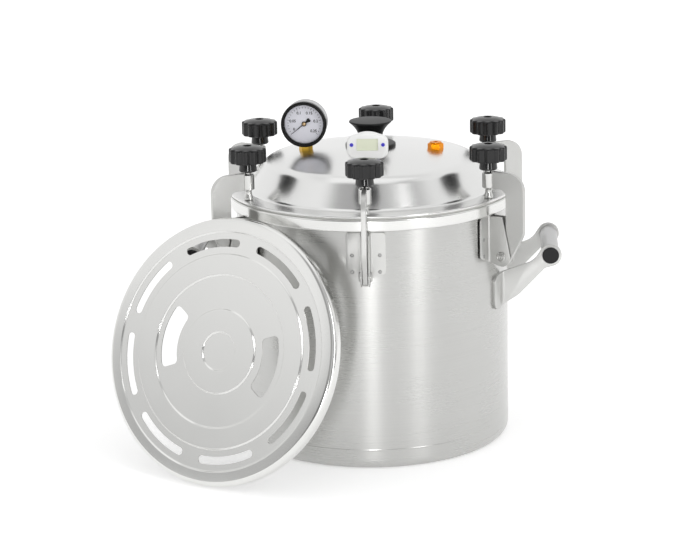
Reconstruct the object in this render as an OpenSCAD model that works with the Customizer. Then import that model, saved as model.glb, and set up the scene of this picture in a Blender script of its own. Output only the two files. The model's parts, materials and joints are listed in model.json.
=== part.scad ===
// Retort sterilizer: a screw-clamped pressure pot for canning jars, with its perforated bottom plate.
// Millimetres, +Z up, origin at the centre of the pot's base, front towards -Y.

/* [Pot] */
// Outer radius of the pot wall
pot_r = 149; // [130:0.5:170]
// Thickness of the pot wall
wall_t = 2; // [1:0.1:3]
// Thickness of the pot's base
base_t = 3; // [2:0.1:5]
// Radius of the base's outer corner
base_corner_r = 13; // [8:0.5:18]
// Height of the weld between base and wall
seam_z = 22; // [20:0.5:40]
// Height of the pot's mouth
mouth_z = 276; // [240:1:320]
// Height of the rim band round the mouth
band_h = 13; // [8:0.5:20]
// Radial thickness of the rim band
band_t = 8; // [5:0.5:12]
// Corner radius of the rim band
band_corner_r = 2; // [0.5:0.25:3]

/* [Lid] */
// Compressed thickness of the gasket
gasket_t = 1.5; // [1:0.1:3]
// Radial width of the gasket
gasket_w = 8; // [6:0.5:10]
// Thickness of the lid's sheet
lid_t = 2.5; // [1.5:0.1:4]
// Radius of the flange's outer top edge
lid_edge_r = 1.2; // [0.5:0.1:1.4]
// Distance from the clamp screws in to the foot of the lid's raised wall
flange_clear = 10; // [8:0.5:14]
// Radius of the fillet between flange and raised wall
lid_fillet_r = 6; // [3:0.5:10]
// Slope of the raised wall, from the horizontal
lid_wall_slope = 57; // [45:1:75]
// Radius of the rounded shoulder
lid_shoulder_r = 18; // [10:0.5:25]
// Height from the flange's top to the top of the dome
lid_rise = 43; // [35:0.5:55]
// Radius of the dome's sphere
lid_dome_r = 555; // [400:5:800]

/* [Lid fittings] */
// Distance of the gauge, thermometer and valve from the centre
fitting_r = 71; // [60:1:80]
// Radius of the lid knob's base disc
lid_knob_base_r = 27.5; // [24:0.5:30]
// Thickness of the lid knob's base disc at its rim
lid_knob_base_t = 4; // [3:0.5:6]
// Radius of the base disc's upper edge
lid_knob_edge_r = 1.5; // [0.8:0.1:2]
// Drop of the base disc's rim below the disc's middle
lid_knob_base_drop = 0.7; // [0.4:0.1:1.2]
// Size of the hollow between the base disc and the neck
lid_knob_hollow = 3; // [2:0.25:4]
// Radius of the lid knob's neck
lid_knob_neck_r = 13; // [10:0.5:18]
// Radius of the lid knob's flat top
lid_knob_top_r = 23.2; // [20:0.1:28]
// Height of the lid knob above the dome's top
lid_knob_h = 28; // [22:0.5:36]
// Thickness of the lid knob's upper rim
lid_knob_rim_t = 2; // [1:0.25:3]
// Rise of the lid knob's top to its middle
lid_knob_crown = 0.5; // [0.2:0.1:1]
// Outer radius of the gauge's bezel
gauge_r = 25; // [20:0.5:31.5]
// Width of the bezel's face
bezel_w = 3.5; // [2:0.25:5]
// Depth of the bezel ring
bezel_d = 6; // [4:0.5:8]
// Depth of the gauge's case behind the bezel
case_d = 21; // [14:0.5:26]
// Radius of the case's back edge
case_edge_r = 3; // [1.5:0.25:5]
// Wall of the gauge's case
case_wall = 1.2; // [0.8:0.1:2]
// Height of the gauge's axis above the dome's top
gauge_rise = 26.5; // [24:0.5:34]
// Turn of the gauge's face towards the left
gauge_turn = 3; // [0:1:30]
// Width across flats of the gauge's brass fitting
gauge_hex_w = 13; // [10:0.5:17]
// Height that the brass fitting reaches up round the gauge's case
gauge_hex_in = 2.4; // [1.5:0.1:4]
// Turn of the gauge's needle from upright, to its zero
needle_a = -129; // [-140:1:-110]
// Length of the needle from its hub
needle_l = 16.5; // [12:0.25:17]
// Width of the needle
needle_w = 1; // [0.6:0.1:1.4]
// Length of the needle's tail
needle_tail_l = 8; // [6:0.25:10]
// Width of the needle's tail
needle_tail_w = 4; // [2.5:0.1:5]
// Radius of the needle's hub
needle_hub_r = 2; // [1.5:0.1:3]
// Radius of the pin under the needle's hub
needle_pin_r = 0.8; // [0.5:0.1:1.2]
// Height of the needle over the dial
needle_gap = 1; // [0.6:0.1:1.6]
// Width of the thermometer's head
thermo_w = 44; // [36:0.5:50]
// Height of the thermometer's head
thermo_h = 28; // [24:0.5:34]
// Depth of the thermometer's head
thermo_d = 13; // [10:0.5:18]
// Corner radius of the thermometer's head
thermo_corner_r = 9; // [5:0.5:12]
// Rise of the arch along the head's top edge
thermo_arch = 3; // [1:0.25:5]
// Width of the display
display_w = 23; // [18:0.5:28]
// Height of the display
display_h = 13; // [8:0.5:16]
// Depth of the display's recess
display_recess = 0.8; // [0.4:0.1:1.5]
// Radius of the thermometer's buttons
button_r = 2; // [1.5:0.1:3]
// How far the buttons stand proud
button_proud = 0.7; // [0.3:0.1:1.5]
// Radius of the thermometer's gland nut
gland_r = 8; // [6:0.5:11]
// Height of the thermometer's gland at its axis
gland_h = 6; // [4:0.5:10]
// Width across flats of the relief valve
valve_w = 15; // [12:0.5:19]
// Height of the relief valve's hexagon at its axis
valve_h = 8; // [6:0.5:14]
// Radius of the relief valve's vent
valve_vent_r = 2.5; // [1.5:0.25:4]
// Depth of the relief valve's vent
valve_vent_d = 4; // [2:0.5:6]

/* [Clamps] */
// Distance of the clamp screws in from the pot's outer face
screw_in = 1; // [0:0.5:6]
// Radius of the clamp screw
screw_r = 4; // [3:0.5:5]
// Radius of the screw's swivel pin
screw_pin_r = 2.5; // [2:0.25:3]
// Height of the swivel foot
foot_h = 9; // [8:0.5:12]
// Radius of the swivel foot's sole
foot_r = 5; // [4.5:0.25:7]
// Radius of the swivel foot's neck
foot_neck_r = 3.5; // [3.25:0.05:3.8]
// Radius of the long nut on the arm
nut_r = 6.65; // [6:0.05:9]
// Length of the long nut
nut_l = 17.5; // [12:0.5:24]
// Chamfer of the long nut's ends
nut_chamfer = 1; // [0.5:0.1:2]
// Gap between the nut and the foot
nut_gap = 1.7; // [1:0.1:4]
// Gap between the nut and the knob
knob_gap = 2.5; // [1:0.1:4]
// Radius of the knob
knob_r = 20; // [16:0.5:25]
// Height of the knob's fluted body
knob_body_h = 15.5; // [10:0.5:22]
// Rise of the knob's domed top
knob_dome_h = 2.5; // [1:0.25:4]
// Radius of the knob's hub
knob_hub_r = 9.3; // [8:0.1:12]
// Height of the knob's hub
knob_hub_h = 10; // [6:0.5:14]
// Radius of the hole in the knob's top
knob_hole_r = 3.5; // [2:0.25:5]
// Depth of the hole in the knob's top
knob_hole_d = 4; // [2:0.5:5]
// Number of flutes round the knob
knob_flutes = 12; // [8:1:16]
// Radius of each flute
flute_r = 3.6; // [2:0.1:4]
// Depth of each flute
flute_d = 1.7; // [0.5:0.1:2.5]
// Thickness of the clamp arm's plate
arm_t = 5; // [4:0.25:6]
// Radial width of the arm's upright
arm_w = 21.5; // [16:0.5:28]
// Clear distance between the rim band and the arm's upright
arm_throat = 13; // [8:0.5:18]
// Height of the arm's top bar
arm_bar_h = 18.5; // [14:0.5:24]
// Outer corner radius of the arm
arm_corner_r = 22; // [10:0.5:24]
// Inner corner radius of the arm
arm_inner_r = 7; // [3:0.5:10]
// Distance of the pivot from the pot's wall
pivot_out = 17; // [14:0.5:22]
// Drop of the pivot below the pot's mouth
pivot_drop = 58; // [50:0.5:70]
// Radius of the arm's eye round the pivot
arm_eye_r = 10; // [8:0.25:12]
// Height of the arm's knees above the pivot
arm_knee = 26; // [20:0.5:34]
// Radius of the arm's outer knee
arm_knee_r = 18; // [8:0.5:24]
// Radius of the arm's inner knee
arm_hollow_r = 9; // [4:0.5:14]
// Radius of the pivot bolt
pivot_bolt_r = 3; // [2.5:0.25:4]
// Radius of the pivot bolt's head
pivot_head_r = 5.5; // [4.5:0.25:7]
// Thickness of the pivot bolt's heads
pivot_head_t = 2.5; // [2:0.25:4]
// Edge radius of the pivot bolt's heads
pivot_head_edge = 1.2; // [0.5:0.1:1.8]

/* [Clamp brackets] */
// Thickness of the bracket's sheet
bracket_t = 1.5; // [1:0.1:3]
// Overall width of each bracket
bracket_w = 42; // [34:1:54]
// Height of the bracket's flanges
bracket_h = 51; // [40:0.5:60]
// Gap between the bracket and the rim band
bracket_gap = 1.5; // [1:0.25:4]
// Corner radius of the flanges
bracket_corner_r = 4; // [1:0.5:8]
// Rise of the flange's lower edge from the ear to its outer corner
bracket_slant = 7; // [0:0.5:12]
// Distance of the ear's top corner from the wall
ear_top_out = 18; // [14:0.5:24]
// Radius of the ear's round end
ear_end_r = 10.5; // [8.5:0.25:12.5]

/* [Handles] */
// Distance of the handle's grip from the pot's wall
grip_out = 46; // [38:0.5:60]
// Height of the grip's axis
grip_z = 210.5; // [180:0.5:220]
// Outer radius of the grip tube
grip_r = 9.5; // [8:0.25:12]
// Wall of the grip tube
grip_wall = 1.5; // [1:0.1:2.5]
// Distance between the outer faces of the two side plates
grip_span = 103; // [85:1:120]
// Thickness of the side plates
handle_t = 3; // [2:0.25:4]
// Radius of the side plate's eye
handle_eye_r = 12; // [10.5:0.25:14]
// Height of the side plate where it meets the wall
handle_root_h = 38; // [28:0.5:46]
// Drop of the side plate's root below the grip's axis
handle_root_drop = 19; // [12:0.5:24]
// Width of the tab that is welded to the wall
handle_tab_w = 18; // [10:0.5:20]
// Distance of the hollow in the side plate's upper edge from the grip's axis
handle_knee_in = 18; // [15:0.5:30]
// Drop of that hollow below the grip's axis
handle_knee_drop = 6; // [2:0.5:10]
// Radius of that hollow
handle_knee_r = 30; // [10:1:34]
// Distance of the hollow under the eye from the grip's axis
handle_neck_in = 6; // [4:0.5:9]
// Drop of that hollow below the grip's axis
handle_neck_drop = 14; // [13:0.5:18]
// Radius of that hollow
handle_neck_r = 8; // [4:0.5:10]
// Distance of the bend in the side plate's lower edge from the grip's axis
handle_bend_in = 35; // [30:0.5:42]
// Drop of that bend below the grip's axis
handle_bend_drop = 44; // [38:0.5:48]
// Thickness of the end plug's flange
plug_t = 2; // [1:0.25:4]
// Width of the tube's end left bare round the plug
plug_edge = 0.5; // [0.2:0.1:1]
// Length of the end plug inside the tube
plug_l = 10; // [6:0.5:16]

/* [Perforated plate] */
// Radial gap between the plate and the inside of the pot
plate_gap = 5; // [3:0.5:12]
// Thickness of the plate's sheet
plate_t = 1; // [0.8:0.1:2]
// Depth of the plate's turned-back lip
plate_lip = 11; // [8:0.5:16]
// Radius of the bend at the plate's edge
plate_bend_r = 4; // [3:0.25:6]
// Height of the pressed rings
ring_step = 1.2; // [0.6:0.1:2]
// Radial width of each pressed ring's slope
ring_slope = 1.6; // [1:0.1:2.5]
// Mean radius of the long slots, as a share of the plate's radius
slot_ring_share = 0.808; // [0.78:0.002:0.82]
// Width of the long slots
slot_w = 8.3; // [6:0.1:9]
// Angle that each long slot spans
slot_span = 34; // [20:1:38]
// Number of long slots
slot_count = 8; // [6:1:9]
// Angle of the first long slot, from the plate's side
slot_turn = 14.5; // [0:0.5:45]
// Mean radius of the finger slots, as a share of the plate's radius
finger_ring_share = 0.45; // [0.43:0.001:0.46]
// Width of the finger slots
finger_w = 20; // [15:0.5:22]
// Angle that each finger slot spans
finger_span = 56; // [40:1:80]
// Angle of the finger slots, from the plate's side
finger_turn = 7; // [0:1:45]
// Radius of the finger slots' corners
finger_corner_r = 5; // [3:0.25:7]
// Lean of the plate from the vertical
plate_lean = 19; // [12:0.5:24]
// Direction that the plate faces
plate_face = 241; // [235:1:250]
// Sideways distance of the plate's centre from the pot's axis
plate_side = 55; // [40:1:70]

/* [Clearances] */
// Radial clearance of a pin that turns in its bore
running_gap = 0.05; // [0.02:0.01:0.1]
// Clearance between the clamp arm and each ear
ear_gap = 0.8; // [0.5:0.1:1.5]
// Clearance between faces that move apart
seat_gap = 0.3; // [0.2:0.05:0.5]
// Radial clearance of a piece that is fixed in a hole
fixed_gap = 0.02; // [0.01:0.01:0.05]

/* [Hidden] */
$fn = 96;
arc_steps = 8;
clamp_names = ["front", "front_right", "back_right", "back", "back_left", "front_left"];
clamp_angles = [for (i = [0:5]) (270 + 60 * i) % 360];
side_names = ["right", "left"];

// Pot and lid, worked out upwards from the mouth
pot_in_r = pot_r - wall_t;
screw_ring_r = pot_r - screw_in;
lid_foot_r = screw_ring_r - flange_clear;
band_r = pot_r + band_t;
band_low_z = mouth_z - band_h;
flange_low_z = mouth_z + gasket_t;
flange_z = flange_low_z + lid_t;
dome_top_z = flange_z + lid_rise;
dome_centre_z = dome_top_z - lid_dome_r;
fillet_centre = [lid_foot_r, flange_z + lid_fillet_r];
shoulder_sphere_r = lid_dome_r - lid_shoulder_r;
// The raised wall's line, at the fillet's end, and the shoulder's centre between that line and the dome
wall_dir = [-cos(lid_wall_slope), sin(lid_wall_slope)];
wall_normal = [sin(lid_wall_slope), cos(lid_wall_slope)];
wall_point = fillet_centre - lid_fillet_r * wall_normal;
shoulder_line = wall_point - lid_shoulder_r * wall_normal;
shoulder_rel = shoulder_line - [0, dome_centre_z];
shoulder_b = shoulder_rel * wall_dir;
shoulder_c = shoulder_rel * shoulder_rel - shoulder_sphere_r * shoulder_sphere_r;
shoulder_centre = shoulder_line + (-shoulder_b + sqrt(shoulder_b * shoulder_b - shoulder_c)) * wall_dir;
dome_end_a = atan2(shoulder_centre[1] - dome_centre_z, shoulder_centre[0]);

// Heights of the clamp, worked out upwards from the lid's flange
sole_z = flange_z + seat_gap;
foot_top_z = sole_z + foot_h;
foot_sole_h = 2;
foot_bell_h = 4;
foot_floor = 3;
nut_low_z = foot_top_z + nut_gap;
nut_top_z = nut_low_z + nut_l;
knob_z = nut_top_z + knob_gap;
knob_body_z = knob_z + knob_hub_h;
knob_rim_z = knob_body_z + knob_body_h;
knob_top_z = knob_rim_z + knob_dome_h;
knob_edge_r = 1.5;
knob_hole_floor = 4;
screw_top_z = knob_top_z - knob_hole_d - knob_hole_floor;
nut_bore_r = screw_r + running_gap;

// The clamp arm and its bracket, in the plane through the pot's axis
pivot = [pot_r + pivot_out, mouth_z - pivot_drop];
pivot_bore_r = pivot_bolt_r + running_gap;
arm_in_r = band_r + arm_throat;
arm_out_r = arm_in_r + arm_w;
arm_low_z = nut_low_z;
arm_top_z = arm_low_z + arm_bar_h;
arm_knee_z = pivot[1] + arm_knee;
ear_in_y = arm_t / 2 + ear_gap;
ear_out_y = ear_in_y + bracket_t;
bracket_top_z = band_low_z - bracket_gap;
bracket_low_z = bracket_top_z - bracket_h;

// Handles
grip_x = pot_r + grip_out;
handle_out_y = grip_span / 2;
handle_in_y = handle_out_y - handle_t;
handle_root_z = grip_z - handle_root_drop;

// Fittings on the lid
fitting_z = dome_centre_z + sqrt(lid_dome_r * lid_dome_r - fitting_r * fitting_r);
fitting_sink = 4;
gauge_z = dome_top_z + gauge_rise;
case_r = gauge_r - 1;
hex_turn = 30;
thermo_z = dome_top_z + 1;
display_share = 0.55;
display_z = thermo_z + display_share * thermo_h;
button_x = (thermo_w + display_w) / 4;

// The leaning plate: the lip's lowest point touches the floor, and near its top the lip's edge
// leans on the outer edge of the front left clamp's arm, seen along and across the plate's facing
plate_r = pot_in_r - plate_gap;
slot_ring_r = plate_r * slot_ring_share;
finger_ring_r = plate_r * finger_ring_share;
plate_h = plate_r * cos(plate_lean) + plate_lip * sin(plate_lean);
prop_a = clamp_angles[5] - plate_face;
prop_along = arm_out_r * cos(prop_a) - arm_t / 2 * sin(prop_a);
prop_across = arm_out_r * sin(prop_a) + arm_t / 2 * cos(prop_a) + plate_side;
prop_up = sqrt(plate_r * plate_r - prop_across * prop_across);
plate_d = prop_along + seat_gap + plate_lip * cos(plate_lean) + prop_up * sin(plate_lean);
// Radii at which the plate's face steps up or down, from shares of the plate's radius
ring_shares = [0.143, 0.314, 0.567, 0.725, 0.8895];
ring_radii = plate_r * ring_shares;

// Points along an arc, from angle a to angle b
function arc(centre, r, a, b, steps = arc_steps) =
    [for (i = [0:steps]) let (t = a + (b - a) * i / steps) centre + r * [cos(t), sin(t)]];

// Angle, on a circle, of the tangent that leaves it for a point outside; side is 1 or -1
function tangent_angle(centre, r, point, side) =
    let (d = point - centre) atan2(d[1], d[0]) + side * acos(r / norm(d));

// The same angle as b, counted clockwise on from a
function clockwise(a, b) = b - 360 * ceil((b - a) / 360);

// A round end about a centre, clockwise between the tangents from two points
function round_end(centre, r, from, to) =
    let (a = tangent_angle(centre, r, from, -1), b = tangent_angle(centre, r, to, 1))
    arc(centre, r, a, clockwise(a, b), 2 * arc_steps);

// The arc that rounds a corner between its two neighbours
function round_corner(before, corner, after, r) =
    let (
        u = (before - corner) / norm(before - corner),
        v = (after - corner) / norm(after - corner),
        half = acos(u * v) / 2,
        centre = corner + (u + v) / norm(u + v) * r / sin(half),
        first = corner + u * r / tan(half) - centre,
        last = corner + v * r / tan(half) - centre,
        a = atan2(first[1], first[0]),
        turn = (atan2(last[1], last[0]) - a + 540) % 360 - 180)
    arc(centre, r, a, a + turn);

module revolve(points) rotate_extrude() polygon(points);

// A flat plate whose outline lies in the plane of X and Z, centred on y
module upright_plate(points, t, y = 0)
    translate([0, y, 0]) rotate([90, 0, 0]) linear_extrude(t, center = true) polygon(points);

// A round bar along Y
module cross_bar(r, x, z, y0, y1)
    translate([x, y1, z]) rotate([90, 0, 0]) cylinder(r = r, h = y1 - y0);

module at_clamp(i) rotate([0, 0, clamp_angles[i]]) children();

module at_screw(i) at_clamp(i) translate([screw_ring_r, 0, 0]) children();

// The lid's outer surface, from the shoulder to the top of the dome
function dome_profile() = arc([0, dome_centre_z], lid_dome_r, dome_end_a, 90);

// Everything under the dome, to seat the fittings on it
module under_dome() rotate_extrude($fn = 240)
    polygon(concat([[0, flange_z], [dome_profile()[0][0], flange_z]], dome_profile()));

// Pot
module pot_wall() color("silver")
    translate([0, 0, seam_z]) difference() {
        cylinder(r = pot_r, h = mouth_z - seam_z);
        translate([0, 0, -1]) cylinder(r = pot_in_r, h = mouth_z - seam_z + 2);
    }

module pot_base() color("silver")
    revolve(concat(
        [[0, 0]],
        arc([pot_r - base_corner_r, base_corner_r], base_corner_r, -90, 0),
        [[pot_r, seam_z], [pot_in_r, seam_z]],
        arc([pot_r - base_corner_r, base_t + base_corner_r - wall_t], base_corner_r - wall_t, 0, -90),
        [[0, base_t]]));

module rim_band() color("silver")
    revolve(concat(
        [[pot_r + fixed_gap, band_low_z], [band_r - band_corner_r, band_low_z]],
        arc([band_r - band_corner_r, band_low_z + band_corner_r], band_corner_r, -90, 0),
        arc([band_r - band_corner_r, mouth_z - band_corner_r], band_corner_r, 0, 90),
        [[pot_r + fixed_gap, mouth_z]]));

// Lid
module lid_gasket() color("dimgray")
    translate([0, 0, mouth_z]) difference() {
        cylinder(r = band_r - 1, h = gasket_t);
        translate([0, 0, -1]) cylinder(r = band_r - 1 - gasket_w, h = gasket_t + 2);
    }

module lid() color("gainsboro")
    revolve(concat(
        arc(fillet_centre, lid_fillet_r, -90, -90 - lid_wall_slope),
        arc(shoulder_centre, lid_shoulder_r, 90 - lid_wall_slope, dome_end_a),
        dome_profile(),
        arc([0, dome_centre_z], lid_dome_r - lid_t, 90, dome_end_a),
        arc(shoulder_centre, lid_shoulder_r - lid_t, dome_end_a, 90 - lid_wall_slope),
        arc(fillet_centre, lid_fillet_r + lid_t, -90 - lid_wall_slope, -90)));

// The flat flange round the lid's raised part, where the clamps press
module lid_flange() color("gainsboro")
    revolve(concat(
        [[lid_foot_r, flange_low_z], [band_r, flange_low_z]],
        arc([band_r - lid_edge_r, flange_z - lid_edge_r], lid_edge_r, 0, 90),
        [[lid_foot_r, flange_z]]));

lid_knob_disc_z = dome_top_z + lid_knob_base_t;
lid_knob_flare_z = lid_knob_disc_z + 2 * lid_knob_hollow;
lid_knob_top_z = dome_top_z + lid_knob_h;
lid_knob_flare_h = lid_knob_top_z - lid_knob_rim_t - lid_knob_flare_z;

module lid_knob() color("dimgray") difference() {
    revolve(concat(
        [[0, fitting_z], [lid_knob_base_r, fitting_z]],
        arc([lid_knob_base_r - lid_knob_edge_r, lid_knob_disc_z - lid_knob_base_drop - lid_knob_edge_r],
            lid_knob_edge_r, 0, 90),
        [[lid_knob_neck_r + lid_knob_hollow, lid_knob_disc_z],
         [lid_knob_neck_r, lid_knob_disc_z + lid_knob_hollow]],
        [for (i = [0:arc_steps]) let (s = i / arc_steps)
            [lid_knob_neck_r + (lid_knob_top_r - lid_knob_neck_r) * s * s,
             lid_knob_flare_z + lid_knob_flare_h * s]],
        [[lid_knob_top_r - lid_knob_rim_t / 2, lid_knob_top_z], [0, lid_knob_top_z + lid_knob_crown]]));
    under_dome();
}

// Pressure gauge, in its own frame: the face looks towards -Y and the axis is at gauge_z
module at_gauge() translate([-fitting_r, 0, 0]) rotate([0, 0, -gauge_turn]) children();

module gauge_round(r, y0, y1) cross_bar(r, 0, gauge_z, y0, y1);

case_y0 = -case_d / 2;
bezel_y0 = case_y0 - bezel_d;
glass_t = 1.5;
dial_t = 0.8;
dial_y = case_y0 + 1;
needle_t = 0.6;
glass_y = bezel_y0 + 1.2;

// A hexagon at the origin, from under the dome up to a height
module hexagon(w, top) translate([0, 0, fitting_z - fitting_sink]) rotate([0, 0, hex_turn])
    cylinder(r = w / 2 / cos(30), h = top - fitting_z + fitting_sink, $fn = 6);

module gauge_fitting() color("goldenrod") difference() {
    at_gauge() hexagon(gauge_hex_w, gauge_z - case_r + gauge_hex_in);
    at_gauge() gauge_round(case_r, case_y0 - 1, -case_y0 + 1);
    under_dome();
}

module gauge_case() color("silver") at_gauge() translate([0, 0, gauge_z]) rotate([-90, 0, 0])
    revolve(concat(
        [[case_r - case_wall, case_y0], [case_r, case_y0]],
        arc([case_r - case_edge_r, -case_y0 - case_edge_r], case_edge_r, 0, 90),
        [[0, -case_y0], [0, -case_y0 - case_wall], [case_r - case_wall, -case_y0 - case_wall]]));

module gauge_bezel() color("black") at_gauge() difference() {
    gauge_round(gauge_r, bezel_y0, case_y0);
    gauge_round(gauge_r - bezel_w, bezel_y0 - 1, case_y0 + 1);
}

module gauge_dial() color("white") at_gauge()
    gauge_round(case_r - case_wall - fixed_gap, dial_y, dial_y + dial_t);

module gauge_needle() color("black") at_gauge() translate([0, dial_y - needle_gap, gauge_z])
    rotate([90, needle_a, 0]) union() {
        cylinder(r = needle_hub_r, h = needle_t);
        translate([-needle_w / 2, 0, 0]) cube([needle_w, needle_l, needle_t]);
        translate([-needle_tail_w / 2, -needle_tail_l, 0]) cube([needle_tail_w, needle_tail_l, needle_t]);
        translate([0, 0, fixed_gap - needle_gap]) cylinder(r = needle_pin_r, h = needle_gap);
    }

module gauge_glass() color("white", 0.3) at_gauge()
    gauge_round(gauge_r - bezel_w - fixed_gap, glass_y, glass_y + glass_t);

// Thermometer: a flat head on a gland, its face towards -Y
thermo_y = -fitting_r;
face_y = thermo_y - thermo_d / 2;
thermo_low = thermo_z + thermo_corner_r;
thermo_side = thermo_w / 2 - thermo_corner_r;
thermo_shoulder_z = thermo_z + thermo_h - thermo_arch - thermo_corner_r;
arch_r = (thermo_side * thermo_side + thermo_arch * thermo_arch) / (2 * thermo_arch);
arch_a = asin(thermo_side / arch_r);

module thermometer_head() color("white") difference() {
    upright_plate(concat(
        arc([thermo_side, thermo_low], thermo_corner_r, -90, 0),
        arc([thermo_side, thermo_shoulder_z], thermo_corner_r, 0, 90 - arch_a),
        arc([0, thermo_z + thermo_h - arch_r], arch_r, 90 - arch_a, 90 + arch_a),
        arc([-thermo_side, thermo_shoulder_z], thermo_corner_r, 90 + arch_a, 180),
        arc([-thermo_side, thermo_low], thermo_corner_r, 180, 270)), thermo_d, thermo_y);
    translate([-display_w / 2, face_y - 1, display_z - display_h / 2])
        cube([display_w, display_recess + 1, display_h]);
    for (s = [-1, 1])
        cross_bar(button_r + fixed_gap, s * button_x, display_z, face_y - 1, face_y + display_recess);
}

module thermometer_display() color("lightgray")
    translate([-display_w / 2 + fixed_gap, face_y + display_recess / 2,
               display_z - display_h / 2 + fixed_gap])
        cube([display_w - 2 * fixed_gap, display_recess / 2, display_h - 2 * fixed_gap]);

module thermometer_buttons() color("royalblue")
    for (s = [-1, 1])
        cross_bar(button_r, s * button_x, display_z, face_y - button_proud, face_y + display_recess);

module thermometer_gland() color("silver") difference() {
    translate([0, thermo_y, thermo_z - gland_h]) cylinder(r = gland_r, h = gland_h);
    under_dome();
}

module relief_valve() color("orange") difference() {
    translate([fitting_r, 0, 0]) hexagon(valve_w, fitting_z + valve_h);
    translate([fitting_r, 0, fitting_z + valve_h - valve_vent_d]) cylinder(r = valve_vent_r, h = valve_h);
    under_dome();
}

// Clamps: each arm swings out about its pivot, and its screw presses a swivel foot on the lid
module clamp_arm(i) color("silver") at_clamp(i) difference() {
    knee_out = [arm_out_r, arm_knee_z];
    knee_in = [arm_in_r, arm_knee_z];
    eye = round_end(pivot, arm_eye_r, knee_out, knee_in);
    union() {
        upright_plate(concat(
            [[screw_ring_r, arm_top_z]],
            arc([arm_out_r - arm_corner_r, arm_top_z - arm_corner_r], arm_corner_r, 90, 0),
            round_corner([arm_out_r, arm_top_z], knee_out, eye[0], arm_knee_r),
            eye,
            round_corner(eye[len(eye) - 1], knee_in, [arm_in_r, arm_low_z], arm_hollow_r),
            arc([arm_in_r - arm_inner_r, arm_low_z - arm_inner_r], arm_inner_r, 0, 90),
            [[screw_ring_r, arm_low_z]]), arm_t);
        translate([screw_ring_r, 0, 0]) revolve([[0, nut_low_z], [nut_r - nut_chamfer, nut_low_z],
            [nut_r, nut_low_z + nut_chamfer], [nut_r, nut_top_z - nut_chamfer],
            [nut_r - nut_chamfer, nut_top_z], [0, nut_top_z]]);
    }
    translate([screw_ring_r, 0, nut_low_z - 1]) cylinder(r = nut_bore_r, h = arm_bar_h + 2);
    cross_bar(pivot_bore_r, pivot[0], pivot[1], -arm_t, arm_t);
}

module clamp_foot(i) color("gainsboro") at_screw(i) difference() {
    revolve(concat(
        [[0, sole_z], [foot_r, sole_z]],
        [for (k = [0:arc_steps]) let (s = k / arc_steps)
            [foot_neck_r + (foot_r - foot_neck_r) * (1 - s) * (1 - s),
             sole_z + foot_sole_h + foot_bell_h * s]],
        [[foot_neck_r, foot_top_z], [0, foot_top_z]]));
    translate([0, 0, sole_z + foot_floor]) cylinder(r = screw_pin_r + running_gap, h = foot_h);
}

module clamp_screw(i) color("silver") at_screw(i) union() {
    translate([0, 0, sole_z + foot_floor + seat_gap])
        cylinder(r = screw_pin_r, h = foot_h - foot_floor);
    translate([0, 0, foot_top_z + seat_gap])
        cylinder(r = screw_r, h = screw_top_z - foot_top_z - seat_gap);
}

module clamp_knob(i) color("dimgray") at_screw(i) difference() {
    revolve(concat(
        [[screw_r + fixed_gap, knob_z], [knob_hub_r, knob_z], [knob_hub_r, knob_body_z],
         [knob_r - knob_edge_r, knob_body_z], [knob_r, knob_body_z + knob_edge_r]],
        arc([knob_r - knob_edge_r, knob_rim_z - knob_edge_r], knob_edge_r, 0, 70, 3),
        [[knob_hole_r, knob_top_z], [knob_hole_r, knob_top_z - knob_hole_d],
         [0, knob_top_z - knob_hole_d], [0, screw_top_z], [screw_r + fixed_gap, screw_top_z]]));
    for (k = [0:knob_flutes - 1])
        rotate([0, 0, (k + 0.5) * 360 / knob_flutes])
            translate([knob_r - flute_d + flute_r, 0, knob_body_z - 1])
                cylinder(r = flute_r, h = knob_top_z - knob_body_z + 2);
}

// One half of a bracket: a flange on the wall and an ear that carries the pivot
module bracket_half() {
    flange_in = ear_in_y;
    flange_out = bracket_w / 2;
    difference() {
        union() {
            upright_plate(concat(
                [[pot_r, bracket_top_z], [pot_r + ear_top_out, bracket_top_z]],
                round_end(pivot, ear_end_r, [pot_r + ear_top_out, bracket_top_z], [pot_r, bracket_low_z]),
                [[pot_r, bracket_low_z]]), bracket_t, (ear_in_y + ear_out_y) / 2);
            translate([pot_r, 0, 0]) rotate([90, 0, 90]) linear_extrude(bracket_t)
                polygon(concat(
                    [[flange_in, bracket_low_z]],
                    round_corner([flange_in, bracket_low_z], [flange_out, bracket_low_z + bracket_slant],
                        [flange_out, bracket_top_z], bracket_corner_r),
                    arc([flange_out - bracket_corner_r, bracket_top_z - bracket_corner_r],
                        bracket_corner_r, 0, 90),
                    [[flange_in, bracket_top_z]]));
        }
        cross_bar(pivot_bolt_r + fixed_gap, pivot[0], pivot[1], 0, bracket_w);
    }
}

module clamp_brackets() color("silver")
    for (i = [0:5]) at_clamp(i) {
        bracket_half();
        mirror([0, 1, 0]) bracket_half();
    }

module pivot_bolts() color("gainsboro")
    for (i = [0:5]) at_clamp(i) {
        cross_bar(pivot_bolt_r, pivot[0], pivot[1], -ear_out_y - 1, ear_out_y + 1);
        for (m = [0, 1]) mirror([0, m, 0]) translate([pivot[0], ear_out_y, pivot[1]]) rotate([-90, 0, 0])
            revolve(concat(
                [[0, 0], [pivot_head_r, 0]],
                arc([pivot_head_r - pivot_head_edge, pivot_head_t - pivot_head_edge], pivot_head_edge, 0, 90),
                [[0, pivot_head_t]]));
    }

// Handles: side 0 is the right one, and side 1 the left
module at_side(s) rotate([0, 0, 180 * s]) children();

handle_knee = [grip_x - handle_knee_in, grip_z - handle_knee_drop];
handle_neck = [grip_x - handle_neck_in, grip_z - handle_neck_drop];
handle_bend = [grip_x - handle_bend_in, grip_z - handle_bend_drop];

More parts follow.
